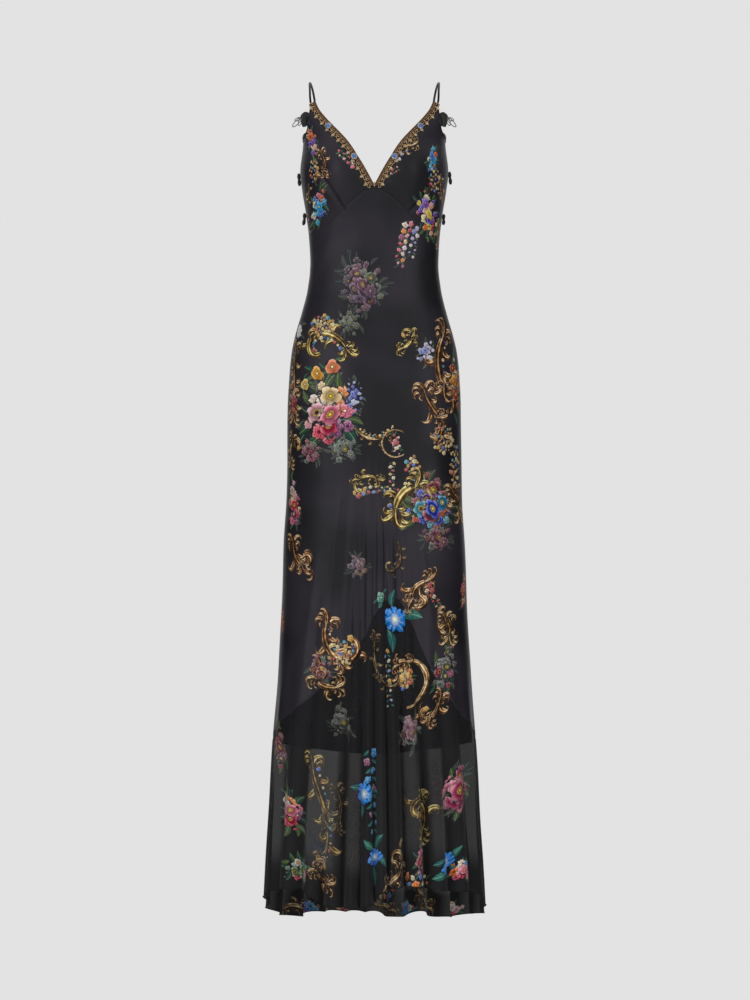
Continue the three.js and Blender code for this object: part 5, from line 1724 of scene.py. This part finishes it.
def armhole_tail(side, word):
    """Three pale loops that stand out from the end of a short stem."""
    start = np.array((135.3, -60.2, -71.0))
    a = np.linspace(0, 2 * math.pi, 36)
    parts = []
    for lean, long, wide in ((-46, 23, 3.4), (-72, 15, 3.0), (-22, 13, 2.6)):
        lean = math.radians(lean)
        up, across = (1 - np.cos(a)) / 2 * long, np.sin(a) * wide
        x, z = up * math.cos(lean) - across * math.sin(lean), up * math.sin(lean) + across * math.cos(lean)
        loop = (start + np.column_stack([x, np.sin(a * 2) * 0.6, z])) * (side, 1, 1)
        parts.append(cord("loop", loop, 0.9, ORGANZA, 7))
    parts.append(cord("stem", np.array(TAIL_STEM) * (side, 1, 1), 0.8, CORDING, 7))
    together(f"loops_{word}", parts, [f"cord_tail_{word}"])


for word, sizes in CORD_ENDS.items():
    side_end(word, *sizes)
for side, word in ((1, "left"), (-1, "right")):
    armhole_end(side, word)
    armhole_tail(side, word)

# %% [markdown]
# ## Bound edges and the rolled hem
# A thin cloth edge is never left raw. The armholes and the low back are bound with a narrow bias strip,
# and the chiffon is rolled and stitched at the hem. Both show as a fine round edge.

# %% Edges
def edge_cord(name, angle, z, radius, made_of):
    angle, z = np.asarray(angle, float), np.asarray(z, float)
    return cord(name, creased(outer(angle, z), outward(angle, z)), radius, made_of, 8)


def armhole_binding(side):
    front_edge = spaced(np.vstack([to_angles(ARMHOLE), [90, UNDERARM_Z]]), np.linspace(0, 1, 40))
    wing_edge = spaced(WING_EDGE, np.linspace(0, 1, 30))[1:]
    top = spaced(WING_TOP, np.linspace(0, 1, 10))[1:]
    angle = np.concatenate([front_edge[:, 0], 180 - wing_edge[:, 0], 180 - top[:, 0]])
    z = np.concatenate([front_edge[:, 1], wing_edge[:, 1], top[:, 1]])
    if side < 0:
        angle = np.where(angle > 90, 360 - angle, -angle)
    return edge_cord("binding", angle, z, 1.0, BINDING)


low_back = spaced(LOW_BACK, np.linspace(0, 1, 90))
around = np.vstack([low_back, low_back[::-1][1:] * (-1, 1)])
together("binding", [
    armhole_binding(1), armhole_binding(-1),
    edge_cord("low_back", 180 - around[:, 0], around[:, 1], 1.0, BINDING),
])
for word, first, last in (("front", -90, 90), ("back", 90, 270)):
    angle = np.linspace(first + 0.2, last - 0.2, 420)
    together(f"rolled_hem_{word}", [edge_cord("hem", angle, hem(angle) + 0.5, 0.8, HEMMING)])

for shape in (BEAD, SEED_BEAD, CURL, FLORETS, HALF_FLORETS):
    bpy.data.objects.remove(shape)

# %% Floor
FLOOR = -2.35  # metres


def pale_floor():
    """A round sheet of pale paper that fades out at its rim."""
    m, rings = 64, [0.02, 1.0, 2.0, 3.4]
    sides = np.arange(m) * 2 * math.pi / m
    verts = [(r * math.cos(a), r * math.sin(a), FLOOR) for r in rings for a in sides]
    faces = [
        (i * m + k, (i + 1) * m + k, (i + 1) * m + (k + 1) % m, i * m + (k + 1) % m)
        for i in range(len(rings) - 1) for k in range(m)
    ]
    mesh = bpy.data.meshes.new("floor")
    mesh.from_pydata(verts, [], faces + [tuple(range(m))])
    made, tree, shader = material("pale_paper")
    where = add(tree, "ShaderNodeSeparateXYZ", {0: Wire(tree, add(tree, "ShaderNodeTexCoord").outputs["Object"])})
    x, y = Wire(tree, where.outputs[0]), Wire(tree, where.outputs[1])
    rim = ((x * x + y * y).math("SQRT") * -1.0 + 3.3).clamp()
    join(tree, shader, Base_Color=mix(rim, PALE_GREY, (0.8, 0.8, 0.8, 1)), Alpha=rim)
    shader.inputs["Roughness"].default_value = 0.9
    shader.inputs["Specular IOR Level"].default_value = 0.1
    mesh.materials.append(made)
    floor = bpy.data.objects.new("floor", mesh)
    scene.collection.objects.link(floor)


pale_floor()
velvet = plain_material("black_velvet", "050505", "0a0a0a", 20, 0.9, Specular_IOR_Level=0.05)
for flag in flags:
    flag.data.materials.append(velvet)
